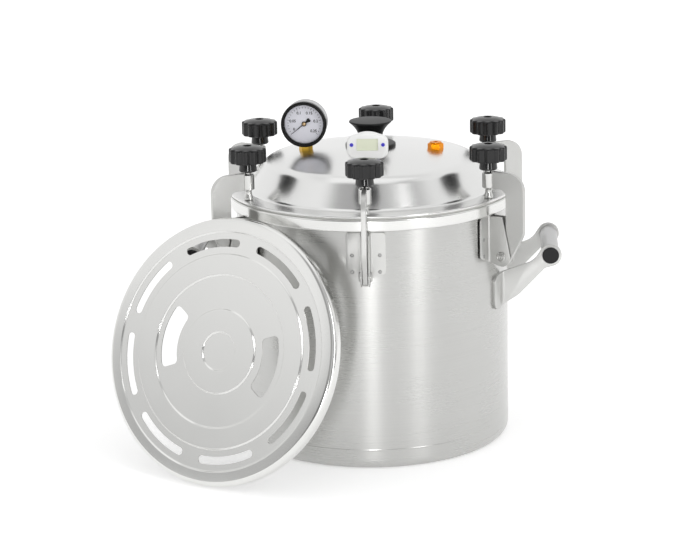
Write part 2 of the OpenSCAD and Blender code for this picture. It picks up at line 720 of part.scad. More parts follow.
module handle_plate_half() {
    root_a = asin(handle_in_y / pot_r);
    tab_a = asin((handle_out_y + handle_tab_w) / pot_r);
    root = [pot_r * cos(asin(handle_out_y / pot_r)) - 1, handle_root_z];
    eye = round_end([grip_x, grip_z], handle_eye_r, handle_knee, handle_neck);
    difference() {
        union() {
            upright_plate(concat(
                [root],
                round_corner(root, handle_knee, eye[0], handle_knee_r),
                eye,
                round_corner(eye[len(eye) - 1], handle_neck, handle_bend, handle_neck_r),
                [handle_bend, root - [0, handle_root_h]]),
                handle_t, handle_out_y - handle_t / 2);
            translate([0, 0, handle_root_z - handle_root_h]) rotate([0, 0, root_a])
                rotate_extrude(angle = tab_a - root_a)
                    translate([pot_r, 0]) square([handle_t, handle_root_h]);
        }
        cylinder(r = pot_r + fixed_gap, h = mouth_z);
        cross_bar(grip_r + fixed_gap, grip_x, grip_z, 0, grip_span);
    }
}

module handle_plates(s) color("silver") at_side(s) {
    handle_plate_half();
    mirror([0, 1, 0]) handle_plate_half();
}

module handle_grip(s) color("silver") at_side(s) difference() {
    cross_bar(grip_r, grip_x, grip_z, -handle_out_y, handle_out_y);
    cross_bar(grip_r - grip_wall, grip_x, grip_z, -handle_out_y - 1, handle_out_y + 1);
}

module handle_plugs(s) color("dimgray") at_side(s)
    for (m = [0, 1]) mirror([0, m, 0]) {
        cross_bar(grip_r - plug_edge, grip_x, grip_z, handle_out_y, handle_out_y + plug_t);
        cross_bar(grip_r - grip_wall - fixed_gap, grip_x, grip_z, handle_out_y - plug_l, handle_out_y);
    }

// Perforated plate: modelled face up, with its lip hanging down, then leaned on the pot
function ring_level(k) = k % 2 == 0 ? 0 : ring_step;

function ring_profile(drop) = [for (k = [0:len(ring_radii) - 1]) each [
    [ring_radii[k] - ring_slope / 2, ring_level(k) - drop],
    [ring_radii[k] + ring_slope / 2, ring_level(k + 1) - drop]]];

function reversed(list) = [for (i = [len(list) - 1:-1:0]) list[i]];

edge_level = ring_level(len(ring_radii));

// Cutters for the plate's slots: part of a ring, and posts that round its ends
module ring_part(r0, r1, span)
    rotate([0, 0, -span / 2]) rotate_extrude(angle = span)
        translate([r0, -plate_lip]) square([r1 - r0, 2 * plate_lip]);

module end_posts(ring_r, post_r, span)
    for (s = [-1, 1]) rotate([0, 0, s * span / 2]) translate([ring_r, 0, -plate_lip])
        cylinder(r = post_r, h = 2 * plate_lip);

module long_slot() {
    span = slot_span - 2 * asin(slot_w / 2 / slot_ring_r);
    ring_part(slot_ring_r - slot_w / 2, slot_ring_r + slot_w / 2, span);
    end_posts(slot_ring_r, slot_w / 2, span);
}

module finger_slot() {
    in_r = finger_ring_r - finger_w / 2;
    out_r = finger_ring_r + finger_w / 2;
    in_post = in_r + finger_corner_r;
    out_post = out_r - finger_corner_r;
    in_span = finger_span - 2 * asin(finger_corner_r / in_post);
    out_span = finger_span - 2 * asin(finger_corner_r / out_post);
    ring_part(in_r, finger_ring_r, in_span);
    ring_part(in_post, out_post, finger_span);
    ring_part(finger_ring_r, out_r, out_span);
    end_posts(in_post, finger_corner_r, in_span);
    end_posts(out_post, finger_corner_r, out_span);
}

module at_plate()
    translate([plate_d * cos(plate_face) + plate_side * sin(plate_face),
               plate_d * sin(plate_face) - plate_side * cos(plate_face), plate_h])
        rotate([0, 90 - plate_lean, plate_face]) children();

bend_centre = [plate_r - plate_bend_r, edge_level - plate_bend_r];

module perforated_plate() color("gainsboro") at_plate() difference() {
    revolve(concat(
        [[0, ring_level(0)]],
        ring_profile(0),
        [[bend_centre[0], edge_level], [bend_centre[0], edge_level - plate_t]],
        reversed(ring_profile(plate_t)),
        [[0, ring_level(0) - plate_t]]));
    for (k = [0:slot_count - 1])
        rotate([0, 0, 90 + slot_turn + k * 360 / slot_count]) long_slot();
    for (k = [0, 1])
        rotate([0, 0, 90 - finger_turn + 180 * k]) finger_slot();
}

// The plate's turned-back edge
module plate_edge() color("gainsboro") at_plate()
    revolve(concat(
        arc(bend_centre, plate_bend_r, 90, 0),
        [[plate_r, -plate_lip], [plate_r - plate_t, -plate_lip]],
        arc(bend_centre, plate_bend_r - plate_t, 0, 90)));

pot_wall();
pot_base();
rim_band();
lid_gasket();
lid();
lid_flange();
lid_knob();
gauge_fitting();
gauge_case();
gauge_bezel();
gauge_dial();
gauge_needle();
gauge_glass();
thermometer_head();
thermometer_display();
thermometer_buttons();
thermometer_gland();
relief_valve();
perforated_plate();
plate_edge();
clamp_brackets();
pivot_bolts();
for (s = [0, 1]) {
    handle_plates(s);
    handle_grip(s);
    handle_plugs(s);
}
for (i = [0:5]) {
    clamp_arm(i);
    clamp_foot(i);
    clamp_screw(i);
    clamp_knob(i);
}
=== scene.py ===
import json
import math

import bmesh
import bpy
from mathutils import Matrix, Vector

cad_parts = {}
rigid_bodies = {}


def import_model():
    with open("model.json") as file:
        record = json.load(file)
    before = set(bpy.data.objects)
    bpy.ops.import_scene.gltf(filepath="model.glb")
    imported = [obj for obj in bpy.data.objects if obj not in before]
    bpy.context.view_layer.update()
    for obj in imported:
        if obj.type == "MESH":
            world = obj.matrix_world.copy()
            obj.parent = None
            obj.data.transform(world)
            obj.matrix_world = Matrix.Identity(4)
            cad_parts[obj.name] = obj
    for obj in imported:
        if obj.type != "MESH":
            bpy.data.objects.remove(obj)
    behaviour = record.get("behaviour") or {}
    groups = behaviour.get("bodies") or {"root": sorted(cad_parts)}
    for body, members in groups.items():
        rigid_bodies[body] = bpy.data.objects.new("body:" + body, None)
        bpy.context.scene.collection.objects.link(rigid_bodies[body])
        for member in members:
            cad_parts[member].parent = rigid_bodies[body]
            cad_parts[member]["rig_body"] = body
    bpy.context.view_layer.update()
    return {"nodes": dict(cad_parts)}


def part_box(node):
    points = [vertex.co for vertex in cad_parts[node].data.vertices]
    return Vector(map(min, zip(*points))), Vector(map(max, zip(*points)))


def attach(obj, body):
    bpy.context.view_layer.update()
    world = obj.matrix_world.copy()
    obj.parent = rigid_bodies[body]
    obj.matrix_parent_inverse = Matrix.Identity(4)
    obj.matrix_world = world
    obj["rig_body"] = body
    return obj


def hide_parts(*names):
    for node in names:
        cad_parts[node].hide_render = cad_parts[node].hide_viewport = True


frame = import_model()
scene = bpy.context.scene
mm = 0.001
clampAngles = {"front": 270, "front_right": 330, "back_right": 30,
               "back": 90, "back_left": 150, "front_left": 210}
print("stage: frame with", len(frame["nodes"]), "nodes")


# the box of a CAD node, in millimetres
def nodeBox(node):
    low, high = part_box(node)
    return low / mm, high / mm


def bodyOf(node):
    return frame["nodes"][node]["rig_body"]


# an sRGB hex colour as the linear values that shaders take
def linear(hexText):
    parts = [int(hexText[i:i + 2], 16) / 255 for i in (1, 3, 5)]
    return tuple(p / 12.92 if p <= 0.04045 else ((p + 0.055) / 1.055) ** 2.4 for p in parts) + (1.0,)


# one node with its settings; an input is a value, or the socket that feeds it
def addNode(tree, kind, inputs=None, **settings):
    node = tree.nodes.new(kind)
    for name, value in settings.items():
        setattr(node, name, value)
    for key, value in (inputs or {}).items():
        if isinstance(value, bpy.types.NodeSocket):
            tree.links.new(value, node.inputs[key])
        else:
            node.inputs[key].default_value = value
    return node


# numbers and vectors that a tree works out
def calc(tree, operation, *values):
    return addNode(tree, "ShaderNodeMath", dict(enumerate(values)), operation=operation).outputs[0]


def vectorCalc(tree, operation, *values):
    return addNode(tree, "ShaderNodeVectorMath", dict(enumerate(values)), operation=operation).outputs[0]


def vectorLength(tree, vector):
    return addNode(tree, "ShaderNodeVectorMath", {0: vector}, operation="LENGTH").outputs["Value"]


def scaledVector(tree, vector, factor):
    return addNode(tree, "ShaderNodeVectorMath", {0: vector, "Scale": factor}, operation="SCALE").outputs[0]


def asVector(tree, x=0.0, y=0.0, z=0.0):
    return addNode(tree, "ShaderNodeCombineXYZ", {0: x, 1: y, 2: z}).outputs[0]


def mixed(tree, share, first, second):
    return addNode(tree, "ShaderNodeMix", {"Factor": share, 2: first, 3: second}).outputs[0]


def mapped(tree, value, start, end, low=0.0, high=1.0, **settings):
    return addNode(tree, "ShaderNodeMapRange", {"Value": value, "From Min": start, "From Max": end, "To Min": low,
                                               "To Max": high}, **settings).outputs[0]


# Outlines and meshes

def arcPoints(centre, radius, start, end, steps):
    turns = [math.radians(start + (end - start) * i / steps) for i in range(steps + 1)]
    return [(centre[0] + radius * math.cos(t), centre[1] + radius * math.sin(t)) for t in turns]


# angle, on a circle, of the tangent that leaves it for a point outside
def tangentAngle(centre, radius, point, side):
    away = Vector(point) - Vector(centre)
    return math.degrees(math.atan2(away.y, away.x)) + side * math.degrees(math.acos(radius / away.length))


# a round end about a centre, clockwise between the tangents from two points
def roundEnd(centre, radius, start, end, steps=24):
    a = tangentAngle(centre, radius, start[:2], -1)
    b = tangentAngle(centre, radius, end[:2], 1)
    b -= 360 * math.ceil((b - a) / 360)
    return [(x, y, 0) for x, y in arcPoints(centre, radius, a, b, steps)]


# a line through corners of (x, y, radius), with an arc at each corner that has a radius
def roundedLine(corners, steps=8, closed=False):
    points = []
    for i, (x, y, radius) in enumerate(corners):
        here = Vector((x, y))
        if radius == 0 or (not closed and i in (0, len(corners) - 1)):
            points.append((x, y))
            continue
        back = Vector(corners[i - 1][:2]) - here
        ahead = Vector(corners[(i + 1) % len(corners)][:2]) - here
        half = back.angle(ahead) / 2
        reach = min(radius / math.tan(half), 0.49 * back.length, 0.49 * ahead.length)
        bend = reach * math.tan(half)
        middle = here + (back.normalized() + ahead.normalized()).normalized() * bend / math.sin(half)
        first = here + back.normalized() * reach - middle
        last = here + ahead.normalized() * reach - middle
        a = math.atan2(first.y, first.x)
        turn = (math.atan2(last.y, last.x) - a + math.pi) % (2 * math.pi) - math.pi
        points += [(middle.x + bend * math.cos(a + turn * k / steps),
                    middle.y + bend * math.sin(a + turn * k / steps)) for k in range(steps + 1)]
    return points


# the same, with the radii apart from the corners
def cornered(spots, radii, steps, closed=False):
    return roundedLine([(x, y, r) for (x, y), r in zip(spots, radii)], steps, closed)


# a shallow dome over a disc, from its edge to the axis
def crownPoints(radius, z, high, steps=8):
    shares = [1 - k / steps for k in range(1, steps + 1)]
    return [(radius * t, z + high * (1 - t * t)) for t in shares]


def toMesh(bm):
    bmesh.ops.remove_doubles(bm, verts=bm.verts, dist=1e-6)
    bmesh.ops.recalc_face_normals(bm, faces=bm.faces)
    mesh = bpy.data.meshes.new("piece")
    bm.to_mesh(mesh)
    bm.free()
    return mesh


# a profile of (radius, height) turned round Z; ends on the axis close as poles
def spun(profile, segments=128):
    bm = bmesh.new()
    rings = []
    for r, z in profile:
        turns = [2 * math.pi * k / segments for k in range(segments if r > 1e-4 else 1)]
        rings.append([bm.verts.new((r * mm * math.cos(t), r * mm * math.sin(t), z * mm)) for t in turns])
    for a, b in zip(rings, rings[1:] + rings[:1]):
        for k in range(segments):
            n = k + 1
            corners = [a[k % len(a)], a[n % len(a)], b[n % len(b)], b[k % len(b)]]
            face = list(dict.fromkeys(corners))
            if len(face) > 2:
                bm.faces.new(face)
    return toMesh(bm)


# a flat plate whose outline lies in X and Z, between two places along Y
def flatPlate(outline, low, high):
    bm = bmesh.new()
    near = [bm.verts.new((x * mm, low * mm, z * mm)) for x, z in outline]
    far = [bm.verts.new((x * mm, high * mm, z * mm)) for x, z in outline]
    bm.faces.new(near)
    bm.faces.new(far[::-1])
    for i in range(len(near)):
        j = (i + 1) % len(near)
        bm.faces.new((near[i], far[i], far[j], near[j]))
    return toMesh(bm)


# a sheet outlined flat, in length and height, then bent along a path of points in X and Y
def bentSheet(outline, path, thick):
    marks = [0.0]
    for a, b in zip(path, path[1:]):
        marks.append(marks[-1] + math.dist(a, b))
    bm = bmesh.new()
    bm.faces.new([bm.verts.new((s * mm, 0, z * mm)) for s, z in outline])
    for s in marks[1:-1]:
        bmesh.ops.bisect_plane(bm, geom=bm.verts[:] + bm.edges[:] + bm.faces[:],
                               plane_co=(s * mm, 0, 0), plane_no=(1, 0, 0))
    for v in bm.verts:
        s = v.co.x / mm
        k = max(i for i in range(len(marks) - 1) if marks[i] <= s + 1e-6 or i == 0)
        share = (s - marks[k]) / (marks[k + 1] - marks[k])
        spot = Vector(path[k]).lerp(Vector(path[k + 1]), share)
        v.co.x, v.co.y = spot.x * mm, spot.y * mm
    work = bpy.data.objects.new("work", toMesh(bm))
    scene.collection.objects.link(work)
    wall = work.modifiers.new("wall", "SOLIDIFY")
    wall.thickness, wall.offset, wall.use_even_offset = thick * mm, 0, True
    return plainMesh(work)


# the evaluated object as a plain mesh; the object itself goes
def plainMesh(work):
    depsgraph = bpy.context.evaluated_depsgraph_get()
    mesh = bpy.data.meshes.new_from_object(work.evaluated_get(depsgraph), preserve_all_data_layers=True,
                                           depsgraph=depsgraph)
    work.modifiers.clear()
    bpy.data.objects.remove(work)
    return mesh


# bevels the sharp edges, and lets the large faces set the normals
def finished(mesh, bevel=0.0, steps=2, sharp=40):
    mesh.shade_smooth()
    if not bevel:
        mesh.set_sharp_from_angle(angle=math.radians(sharp))
    work = bpy.data.objects.new("work", mesh)
    scene.collection.objects.link(work)
    if bevel:
        edge = work.modifiers.new("edge", "BEVEL")
        edge.width, edge.segments, edge.limit_method = bevel * mm, steps, "ANGLE"
        edge.angle_limit = math.radians(sharp)
    weighted = work.modifiers.new("normals", "WEIGHTED_NORMAL")
    weighted.keep_sharp = True
    return plainMesh(work)


def moved(mesh, *matrices):
    copy = mesh.copy()
    for matrix in matrices:
        copy.transform(matrix)
    return copy


def joined(*meshes):
    bm = bmesh.new()
    for mesh in meshes:
        bm.from_mesh(mesh)
    mesh = bpy.data.meshes.new("piece")
    bm.to_mesh(mesh)
    bm.free()
    return mesh


def turnZ(degrees):
    return Matrix.Rotation(math.radians(degrees), 4, "Z")


def shift(x, y, z):
    return Matrix.Translation((x * mm, y * mm, z * mm))


# a sheet half with its mirror image across Y
def withMirror(mesh):
    other = moved(mesh, Matrix.Scale(-1, 4, (0, 1, 0)))
    other.flip_normals()
    return joined(mesh, other)


# a turning that looks out along Y at both ends of an axis through (x, z)
def atBothEnds(mesh, x, z):
    return joined(*[moved(mesh, Matrix.Rotation(math.radians(side * 90), 4, "X"), shift(x, 0, z))
                    for side in (-1, 1)])


def atAllClamps(mesh):
    return joined(*[moved(mesh, turnZ(turn)) for turn in clampAngles.values()])


def addPiece(name, mesh, body, finish, slot, *nodes):
    mesh.name = name
    mesh.materials.clear()
    mesh.materials.append(finish)
    piece = bpy.data.objects.new(name, mesh)
    scene.collection.objects.link(piece)
    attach(piece, body)
    if nodes:
        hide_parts(*nodes)


# Geometry Nodes: a new tree with named inputs, and its run on a mesh

def newTree(name, **inputs):
    tree = bpy.data.node_groups.new(name, "GeometryNodeTree")
    tree.is_modifier = True
    tree.interface.new_socket("Geometry", in_out="INPUT", socket_type="NodeSocketGeometry")
    for label, kind in inputs.items():
        tree.interface.new_socket(label, in_out="INPUT", socket_type="NodeSocket" + kind)
    tree.interface.new_socket("Geometry", in_out="OUTPUT", socket_type="NodeSocketGeometry")
    return tree, addNode(tree, "NodeGroupInput").outputs


# every tree ends in real geometry with its material
def endTree(tree, geometry, finish):
    real = addNode(tree, "GeometryNodeRealizeInstances", {0: geometry})
    painted = addNode(tree, "GeometryNodeSetMaterial", {0: real.outputs[0], "Material": finish})
    addNode(tree, "NodeGroupOutput", {0: painted.outputs[0]})


def grown(tree, mesh, **values):
    work = bpy.data.objects.new("work", mesh)
    modifier = work.modifiers.new("nodes", "NODES")
    modifier.node_group = tree
    for item in tree.interface.items_tree:
        if item.in_out == "INPUT" and item.name in values:
            modifier[item.identifier] = values[item.name]
    scene.collection.objects.link(work)
    return plainMesh(work)


def pointMesh(points):
    mesh = bpy.data.meshes.new("points")
    mesh.from_pydata([tuple(c * mm for c in p) for p in points], [], [])
    return mesh


# what a tree needs to work round Z: a point's angle, height, level part and distance from the axis
def polarInputs(tree):
    position = addNode(tree, "GeometryNodeInputPosition").outputs[0]
    xyz = addNode(tree, "ShaderNodeSeparateXYZ", {0: position}).outputs
    flat = vectorCalc(tree, "MULTIPLY", position, (1, 1, 0))
    return calc(tree, "ARCTAN2", xyz[1], xyz[0]), xyz[2], flat, vectorLength(tree, flat)


# Materials

def newMaterial(name):
    finish = bpy.data.materials.new(name)
    finish.use_nodes = True
    tree = finish.node_tree
    tree.nodes.clear()
    shader = addNode(tree, "ShaderNodeBsdfPrincipled")
    addNode(tree, "ShaderNodeOutputMaterial", {"Surface": shader.outputs[0]})
    place = addNode(tree, "ShaderNodeTexCoord").outputs["Object"]
    return finish, tree, shader, place


def noise(tree, place, sizeMm, detail):
    return addNode(tree, "ShaderNodeTexNoise", {"Vector": place, "Scale": 1 / (sizeMm * mm),
                                               "Detail": detail}).outputs["Fac"]


# colour between two tones, gloss that wanders with a fine and a wide pattern, and the fine one as relief
def dressShader(tree, shader, tones, toneBy, fine, wide, rough, spread, relief, reliefMm):
    tone = addNode(tree, "ShaderNodeMix", {"Factor": toneBy, 6: linear(tones[1]), 7: linear(tones[0])},
                   data_type="RGBA")
    gloss = mapped(tree, calc(tree, "ADD", fine, wide), 0.5, 1.5, rough - spread, rough + spread)
    bump = addNode(tree, "ShaderNodeBump", {"Height": fine, "Strength": relief, "Distance": reliefMm * mm})
    tree.links.new(tone.outputs[2], shader.inputs["Base Color"])
    tree.links.new(gloss, shader.inputs["Roughness"])
    tree.links.new(bump.outputs[0], shader.inputs["Normal"])


# stainless sheet, turned and brushed round the pot: grain lines run round it, so lights smear upright;
# the real grain is about 0.1 mm, too fine to show, so it is drawn at lineMm
brush = {"along": 3, "detail": 3.0, "ragged": 0.6, "smudgeMm": 60, "smudgeDetail": 2.0, "relief": 0.02,
         "reliefMm": 0.02, "quarterTurn": 0.25}


def makeBrushedSteel(name, light, dark, rough, spread, lineMm, aniso):
    finish, tree, shader, place = newMaterial(name)
    stretch = addNode(tree, "ShaderNodeMapping", {"Vector": place, "Scale": (brush["along"], brush["along"],
                                                                            1 / (lineMm * mm))})
    lines = addNode(tree, "ShaderNodeTexNoise", {"Vector": stretch.outputs[0], "Scale": 1.0,
                                                 "Detail": brush["detail"],
                                                 "Roughness": brush["ragged"]}).outputs["Fac"]
    smudge = noise(tree, place, brush["smudgeMm"], brush["smudgeDetail"])
    dressShader(tree, shader, (light, dark), lines, lines, smudge, rough, spread, brush["relief"], brush["reliefMm"])
    grain = addNode(tree, "ShaderNodeTangent", direction_type="RADIAL", axis="Z")
    shader.inputs["Metallic"].default_value = 1.0
    shader.inputs["Anisotropic"].default_value = aniso
    shader.inputs["Anisotropic Rotation"].default_value = brush["quarterTurn"]
    tree.links.new(grain.outputs[0], shader.inputs["Tangent"])
    return finish


# a metal or a plastic with a fine even grain: colour mottles a little and the gloss varies
mottle = {"detail": 4.0, "cloudMm": 35, "cloudDetail": 2.0, "relief": 0.3}


def makeGrained(name, light, dark, rough, spread, grainMm, bumpMm, metallic=0.0, sheen=0.5):
    finish, tree, shader, place = newMaterial(name)
    grain = noise(tree, place, grainMm, mottle["detail"])
    cloud = noise(tree, place, mottle["cloudMm"], mottle["cloudDetail"])
    dressShader(tree, shader, (light, dark), cloud, grain, cloud, rough, spread, mottle["relief"], bumpMm)
    shader.inputs["Metallic"].default_value = metallic
    shader.inputs["Specular IOR Level"].default_value = sheen
    return finish


# brushed stainless: the wall's broad upright light streaks, the lid's soft mirror, the band's bright line
potSteel = makeBrushedSteel("satin_stainless_wall", "#c7c7c5", "#bdbdbb", 0.28, 0.03, 0.9, 0.7)
lidSteel = makeBrushedSteel("polished_stainless_lid", "#e6e6e5", "#e0e0df", 0.25, 0.02, 1.2, 0.2)
bandSteel = makeBrushedSteel("polished_stainless_band", "#e4e4e2", "#dadad8", 0.2, 0.04, 1.0, 0.4)
# pressed stainless plate, mirror-like: soft reflections that break at each pressed ring
plateSteel = makeGrained("bright_stainless_plate", "#e4e4e2", "#dededc", 0.15, 0.03, 0.8, 0.004, 1.0)
# cut stainless sheet, mill finish: pale and matt with a faint grain
sheetSteel = makeGrained("mill_stainless_sheet", "#cfcfcd", "#c7c7c5", 0.46, 0.05, 0.6, 0.02, 1.0)
# chromed turned parts: dark and light bands of everything around
chromeSteel = makeGrained("chromed_turned_steel", "#d2d2d0", "#c6c6c4", 0.1, 0.02, 0.7, 0.003, 1.0)
# nickel-plated bolt heads: greyer and softer than the chrome, so that their turned rings show
boltNickel = makeGrained("nickel_plated_bolt", "#c4c4c2", "#b6b6b4", 0.3, 0.05, 0.5, 0.01, 1.0)
# drawn tube, satin: one soft light along its length
tubeSteel = makeGrained("satin_steel_tube", "#c2c2c2", "#b8b8b8", 0.38, 0.05, 0.7, 0.02, 1.0)
# spot welds: duller and darker than the sheet round them
weldSteel = makeGrained("spot_weld_steel", "#b9b9b8", "#a3a3a2", 0.4, 0.08, 0.4, 0.03, 1.0)
# moulded phenolic knob: near black, satin, with a faint moulding texture
knobPlastic = makeGrained("moulded_black_knob", "#111112", "#0c0c0d", 0.22, 0.05, 0.9, 0.03, 0.0, 0.42)
# the knob's hub was polished in its mould: black, with the lights as thin upright lines
hubPlastic = makeGrained("polished_black_hub", "#0c0c0d", "#09090a", 0.1, 0.03, 1.2, 0.005, 0.0, 0.6)
# matt lid knob and rubber plugs: the light only greys their tops
lidKnobPlastic = makeGrained("matt_black_lid_knob", "#191919", "#131313", 0.42, 0.05, 0.9, 0.03, 0.0, 0.25)
plugRubber = makeGrained("black_rubber_plug", "#222223", "#1b1b1c", 0.55, 0.05, 0.9, 0.04, 0.0, 0.3)
# gauge: black bezel with a thin light, pale grey case, bluish white dial, flat ink and a warm metal hub
bezelEnamel = makeGrained("black_enamel_bezel", "#0b0b0c", "#080808", 0.25, 0.03, 1.2, 0.01, 0.0, 0.18)
caseEnamel = makeGrained("grey_enamel_case", "#c4c4c6", "#b9b9bb", 0.35, 0.04, 1.0, 0.02)
dialEnamel = makeGrained("white_printed_dial", "#ececf4", "#e6e6ef", 0.5, 0.03, 1.0, 0.003)
dialInk = makeGrained("black_dial_ink", "#161618", "#101012", 0.55, 0.03, 1.0, 0.003, 0.0, 0.3)
hubBrass = makeGrained("pale_brass_hub", "#d9bd96", "#cfae83", 0.35, 0.05, 0.5, 0.01, 1.0)
# turned brass: yellow, with dark sides; the valve's lacquer makes it a clear orange
fittingBrass = makeGrained("turned_brass", "#d6b04a", "#c59c3a", 0.3, 0.05, 0.5, 0.01, 1.0)
valveBrass = makeGrained("orange_lacquered_brass", "#ea9419", "#d97f0c", 0.24, 0.05, 0.6, 0.01, 1.0)
# thermometer: clean white head, pale green display and blue keys as the only cool colour
thermoPlastic = makeGrained("white_moulded_plastic", "#fafaf9", "#f5f5f4", 0.4, 0.04, 0.8, 0.01)
displayGlass = makeGrained("green_grey_display", "#f1f5e0", "#ebf0d7", 0.25, 0.03, 2.0, 0.002)
buttonRubber = makeGrained("blue_rubber_button", "#4640cf", "#3a34bd", 0.45, 0.04, 0.5, 0.01)
# silicone gasket: a dull pale line between lid and band
gasketSilicone = makeGrained("pale_silicone_gasket", "#cfcfcb", "#c2c2be", 0.5, 0.05, 0.8, 0.02)
print("stage: materials")


# Pot: wall and base as one shell, with the weld bead between them
pot = {"wall": 2.0, "baseThick": 3.0, "baseCorner": 13.0, "bead": 0.18, "beadHigh": 2.2, "beadRound": 1.0,
       "mouthRound": 0.5, "segments": 256}
wallLow, wallHigh = nodeBox("pot_wall")
potR, seamZ, mouthZ = wallHigh.x, wallLow.z, wallHigh.z


def potShell(s):
    inside = potR - s["wall"]
    half, bead, mouth = s["beadHigh"] / 2, s["beadRound"], s["mouthRound"]
    return spun(roundedLine([
        (0, 0, 0), (potR, 0, s["baseCorner"]),
        (potR, seamZ - half, bead), (potR + s["bead"], seamZ, bead), (potR, seamZ + half, bead),
        (potR, mouthZ, mouth), (inside, mouthZ, mouth),
        (inside, s["baseThick"], s["baseCorner"] - s["wall"]), (0, s["baseThick"], 0)], 10), s["segments"])


addPiece("pot_shell", finished(potShell(pot)), "vessel", potSteel, "satin_steel", "pot_wall", "pot_base")

# Rim band and gasket: rings with an inner and an outer corner radius
rim = {"corner": 2.0, "inner": 0.6, "gasketWide": 8.0, "gasketCorner": 0.7, "gasketInner": 0.3, "segments": 256}
bandLow, bandHigh = nodeBox("rim_band")
gasketLow, gasketHigh = nodeBox("lid_gasket")
bandR = bandHigh.x


def ringShape(inside, outside, low, high, inner, corner, steps):
    spots = [(inside, low), (outside, low), (outside, high), (inside, high)]
    return finished(spun(cornered(spots, (inner, corner, corner, inner), steps, True), rim["segments"]))


addPiece("rim_band_turned", ringShape(potR, bandR, bandLow.z, bandHigh.z, rim["inner"], rim["corner"], 8),
         "vessel", bandSteel, "satin_steel", "rim_band")
gasketRing = ringShape(gasketHigh.x - rim["gasketWide"], gasketHigh.x, gasketLow.z, gasketHigh.z,
                       rim["gasketInner"], rim["gasketCorner"], 4)
addPiece("gasket_ring", gasketRing, "vessel", gasketSilicone, "silicone_gasket", "lid_gasket")

# Lid: flat flange, sloping raised wall, round shoulder, shallow dome
lid = {"thick": 2.5, "edge": 1.1, "foot": 138.0, "fillet": 6.0, "slope": 57.0, "shoulder": 18.0,
       "domeR": 555.0, "segments": 256}
lidLow, lidHigh = nodeBox("lid")
flangeZ = lidLow.z + lid["thick"]
domeZ = lidHigh.z
domeCentreZ = domeZ - lid["domeR"]


def lidProfile(s):
    slope = math.radians(s["slope"])
    along = Vector((-math.cos(slope), math.sin(slope)))
    out = Vector((math.sin(slope), math.cos(slope)))
    fillet = Vector((s["foot"], flangeZ + s["fillet"]))
    start = fillet - s["fillet"] * out - s["shoulder"] * out - Vector((0, domeCentreZ))
    b = start.dot(along)
    c = start.dot(start) - (s["domeR"] - s["shoulder"]) ** 2
    shoulder = start + Vector((0, domeCentreZ)) + (math.sqrt(b * b - c) - b) * along
    domeEnd = math.degrees(math.atan2(shoulder.y - domeCentreZ, shoulder.x))
    lower = 90 - s["slope"]
    edge = (bandR - s["edge"], flangeZ - s["edge"])
    under = (bandR - s["edge"], lidLow.z + s["edge"])
    top = (arcPoints(under, s["edge"], -90, 0, 5) + arcPoints(edge, s["edge"], 0, 90, 5)
           + arcPoints(fillet, s["fillet"], -90, -90 - s["slope"], 10)
           + arcPoints(shoulder, s["shoulder"], lower, domeEnd, 14)
           + arcPoints((0, domeCentreZ), s["domeR"], domeEnd, 90, 30))
    inner = (arcPoints((0, domeCentreZ), s["domeR"] - s["thick"], 90, domeEnd, 30)
             + arcPoints(shoulder, s["shoulder"] - s["thick"], domeEnd, lower, 14)
             + arcPoints(fillet, s["fillet"] + s["thick"], -90 - s["slope"], -90, 10))
    return [(max(r, 0), z) for r, z in top + inner]


addPiece("lid_spun", finished(spun(lidProfile(lid), lid["segments"])), "vessel", lidSteel,
         "polished_steel", "lid", "lid_flange")


# height of the dome's surface at a distance from the axis
def domeAt(r):
    return domeCentreZ + math.sqrt(lid["domeR"] ** 2 - r * r)


# Lid knob: base disc, waisted neck, flared top
lidKnob = {"discR": 27.5, "discThick": 4.0, "discEdge": 1.6, "discFall": 0.8, "sink": 0.3, "rootDeep": 1.0,
           "neckR": 13.0, "fillet": 4.0, "filletR": 3.0, "filletEnd": 3.5, "flareBend": 2.2,
           "flareEnd": 1.6, "flareSteps": 16, "topR": 23.2, "rim": 1.2, "crown": 0.7, "segments": 96}


def lidKnobShape(s):
    top = nodeBox("lid_knob")[1].z - s["crown"]
    base = domeZ + s["discThick"]
    start = base + s["fillet"]
    rise = top - s["flareEnd"] - start
    shares = [i / s["flareSteps"] for i in range(s["flareSteps"] + 1)]
    flare = [(s["neckR"] + (s["topR"] - s["neckR"]) * t ** s["flareBend"], start + rise * t) for t in shares]
    rimArc = arcPoints((s["topR"] - s["rim"], top - s["rim"]), s["rim"], 0, 90, 6)
    foot = roundedLine([(0, domeZ - s["rootDeep"], 0), (s["discR"], domeAt(s["discR"]) - s["sink"], 0),
                        (s["discR"], base - s["discFall"], s["discEdge"]),
                        (s["neckR"] + s["fillet"], base, s["filletR"]),
                        (s["neckR"], base + s["filletEnd"], 0)], 6)
    return spun(foot + flare + rimArc + crownPoints(s["topR"], top, s["crown"]), s["segments"])


addPiece("lid_knob_moulded", finished(lidKnobShape(lidKnob)), "vessel", lidKnobPlastic,
         "black_plastic", "lid_knob")
print("stage: pot and lid")


# a round turning clamped to a hexagon, as a nut is milled from a chamfered blank
hexTree, inlet = newTree("hexagonFromTurning", Apothem="Float", Reach="Float")
angle, height, flat, radius = polarInputs(hexTree)
sixth = calc(hexTree, "WRAP", angle, math.radians(30), math.radians(-30))
flatAt = calc(hexTree, "DIVIDE", inlet["Apothem"], calc(hexTree, "COSINE", sixth))
least = calc(hexTree, "MINIMUM", radius, flatAt)
scale = calc(hexTree, "DIVIDE", least, calc(hexTree, "MAXIMUM", radius, 1e-6))
inHex = calc(hexTree, "LESS_THAN", height, inlet["Reach"])
pulled = scaledVector(hexTree, flat, mixed(hexTree, inHex, 1.0, scale))
there = vectorCalc(hexTree, "ADD", pulled, asVector(hexTree, z=height))
placed = addNode(hexTree, "GeometryNodeSetPosition", {0: inlet["Geometry"], "Position": there})
endTree(hexTree, placed.outputs[0], fittingBrass)


# a multiple of twelve, so that the hexagon's corners fall on points of the turning
hexSegments = 144


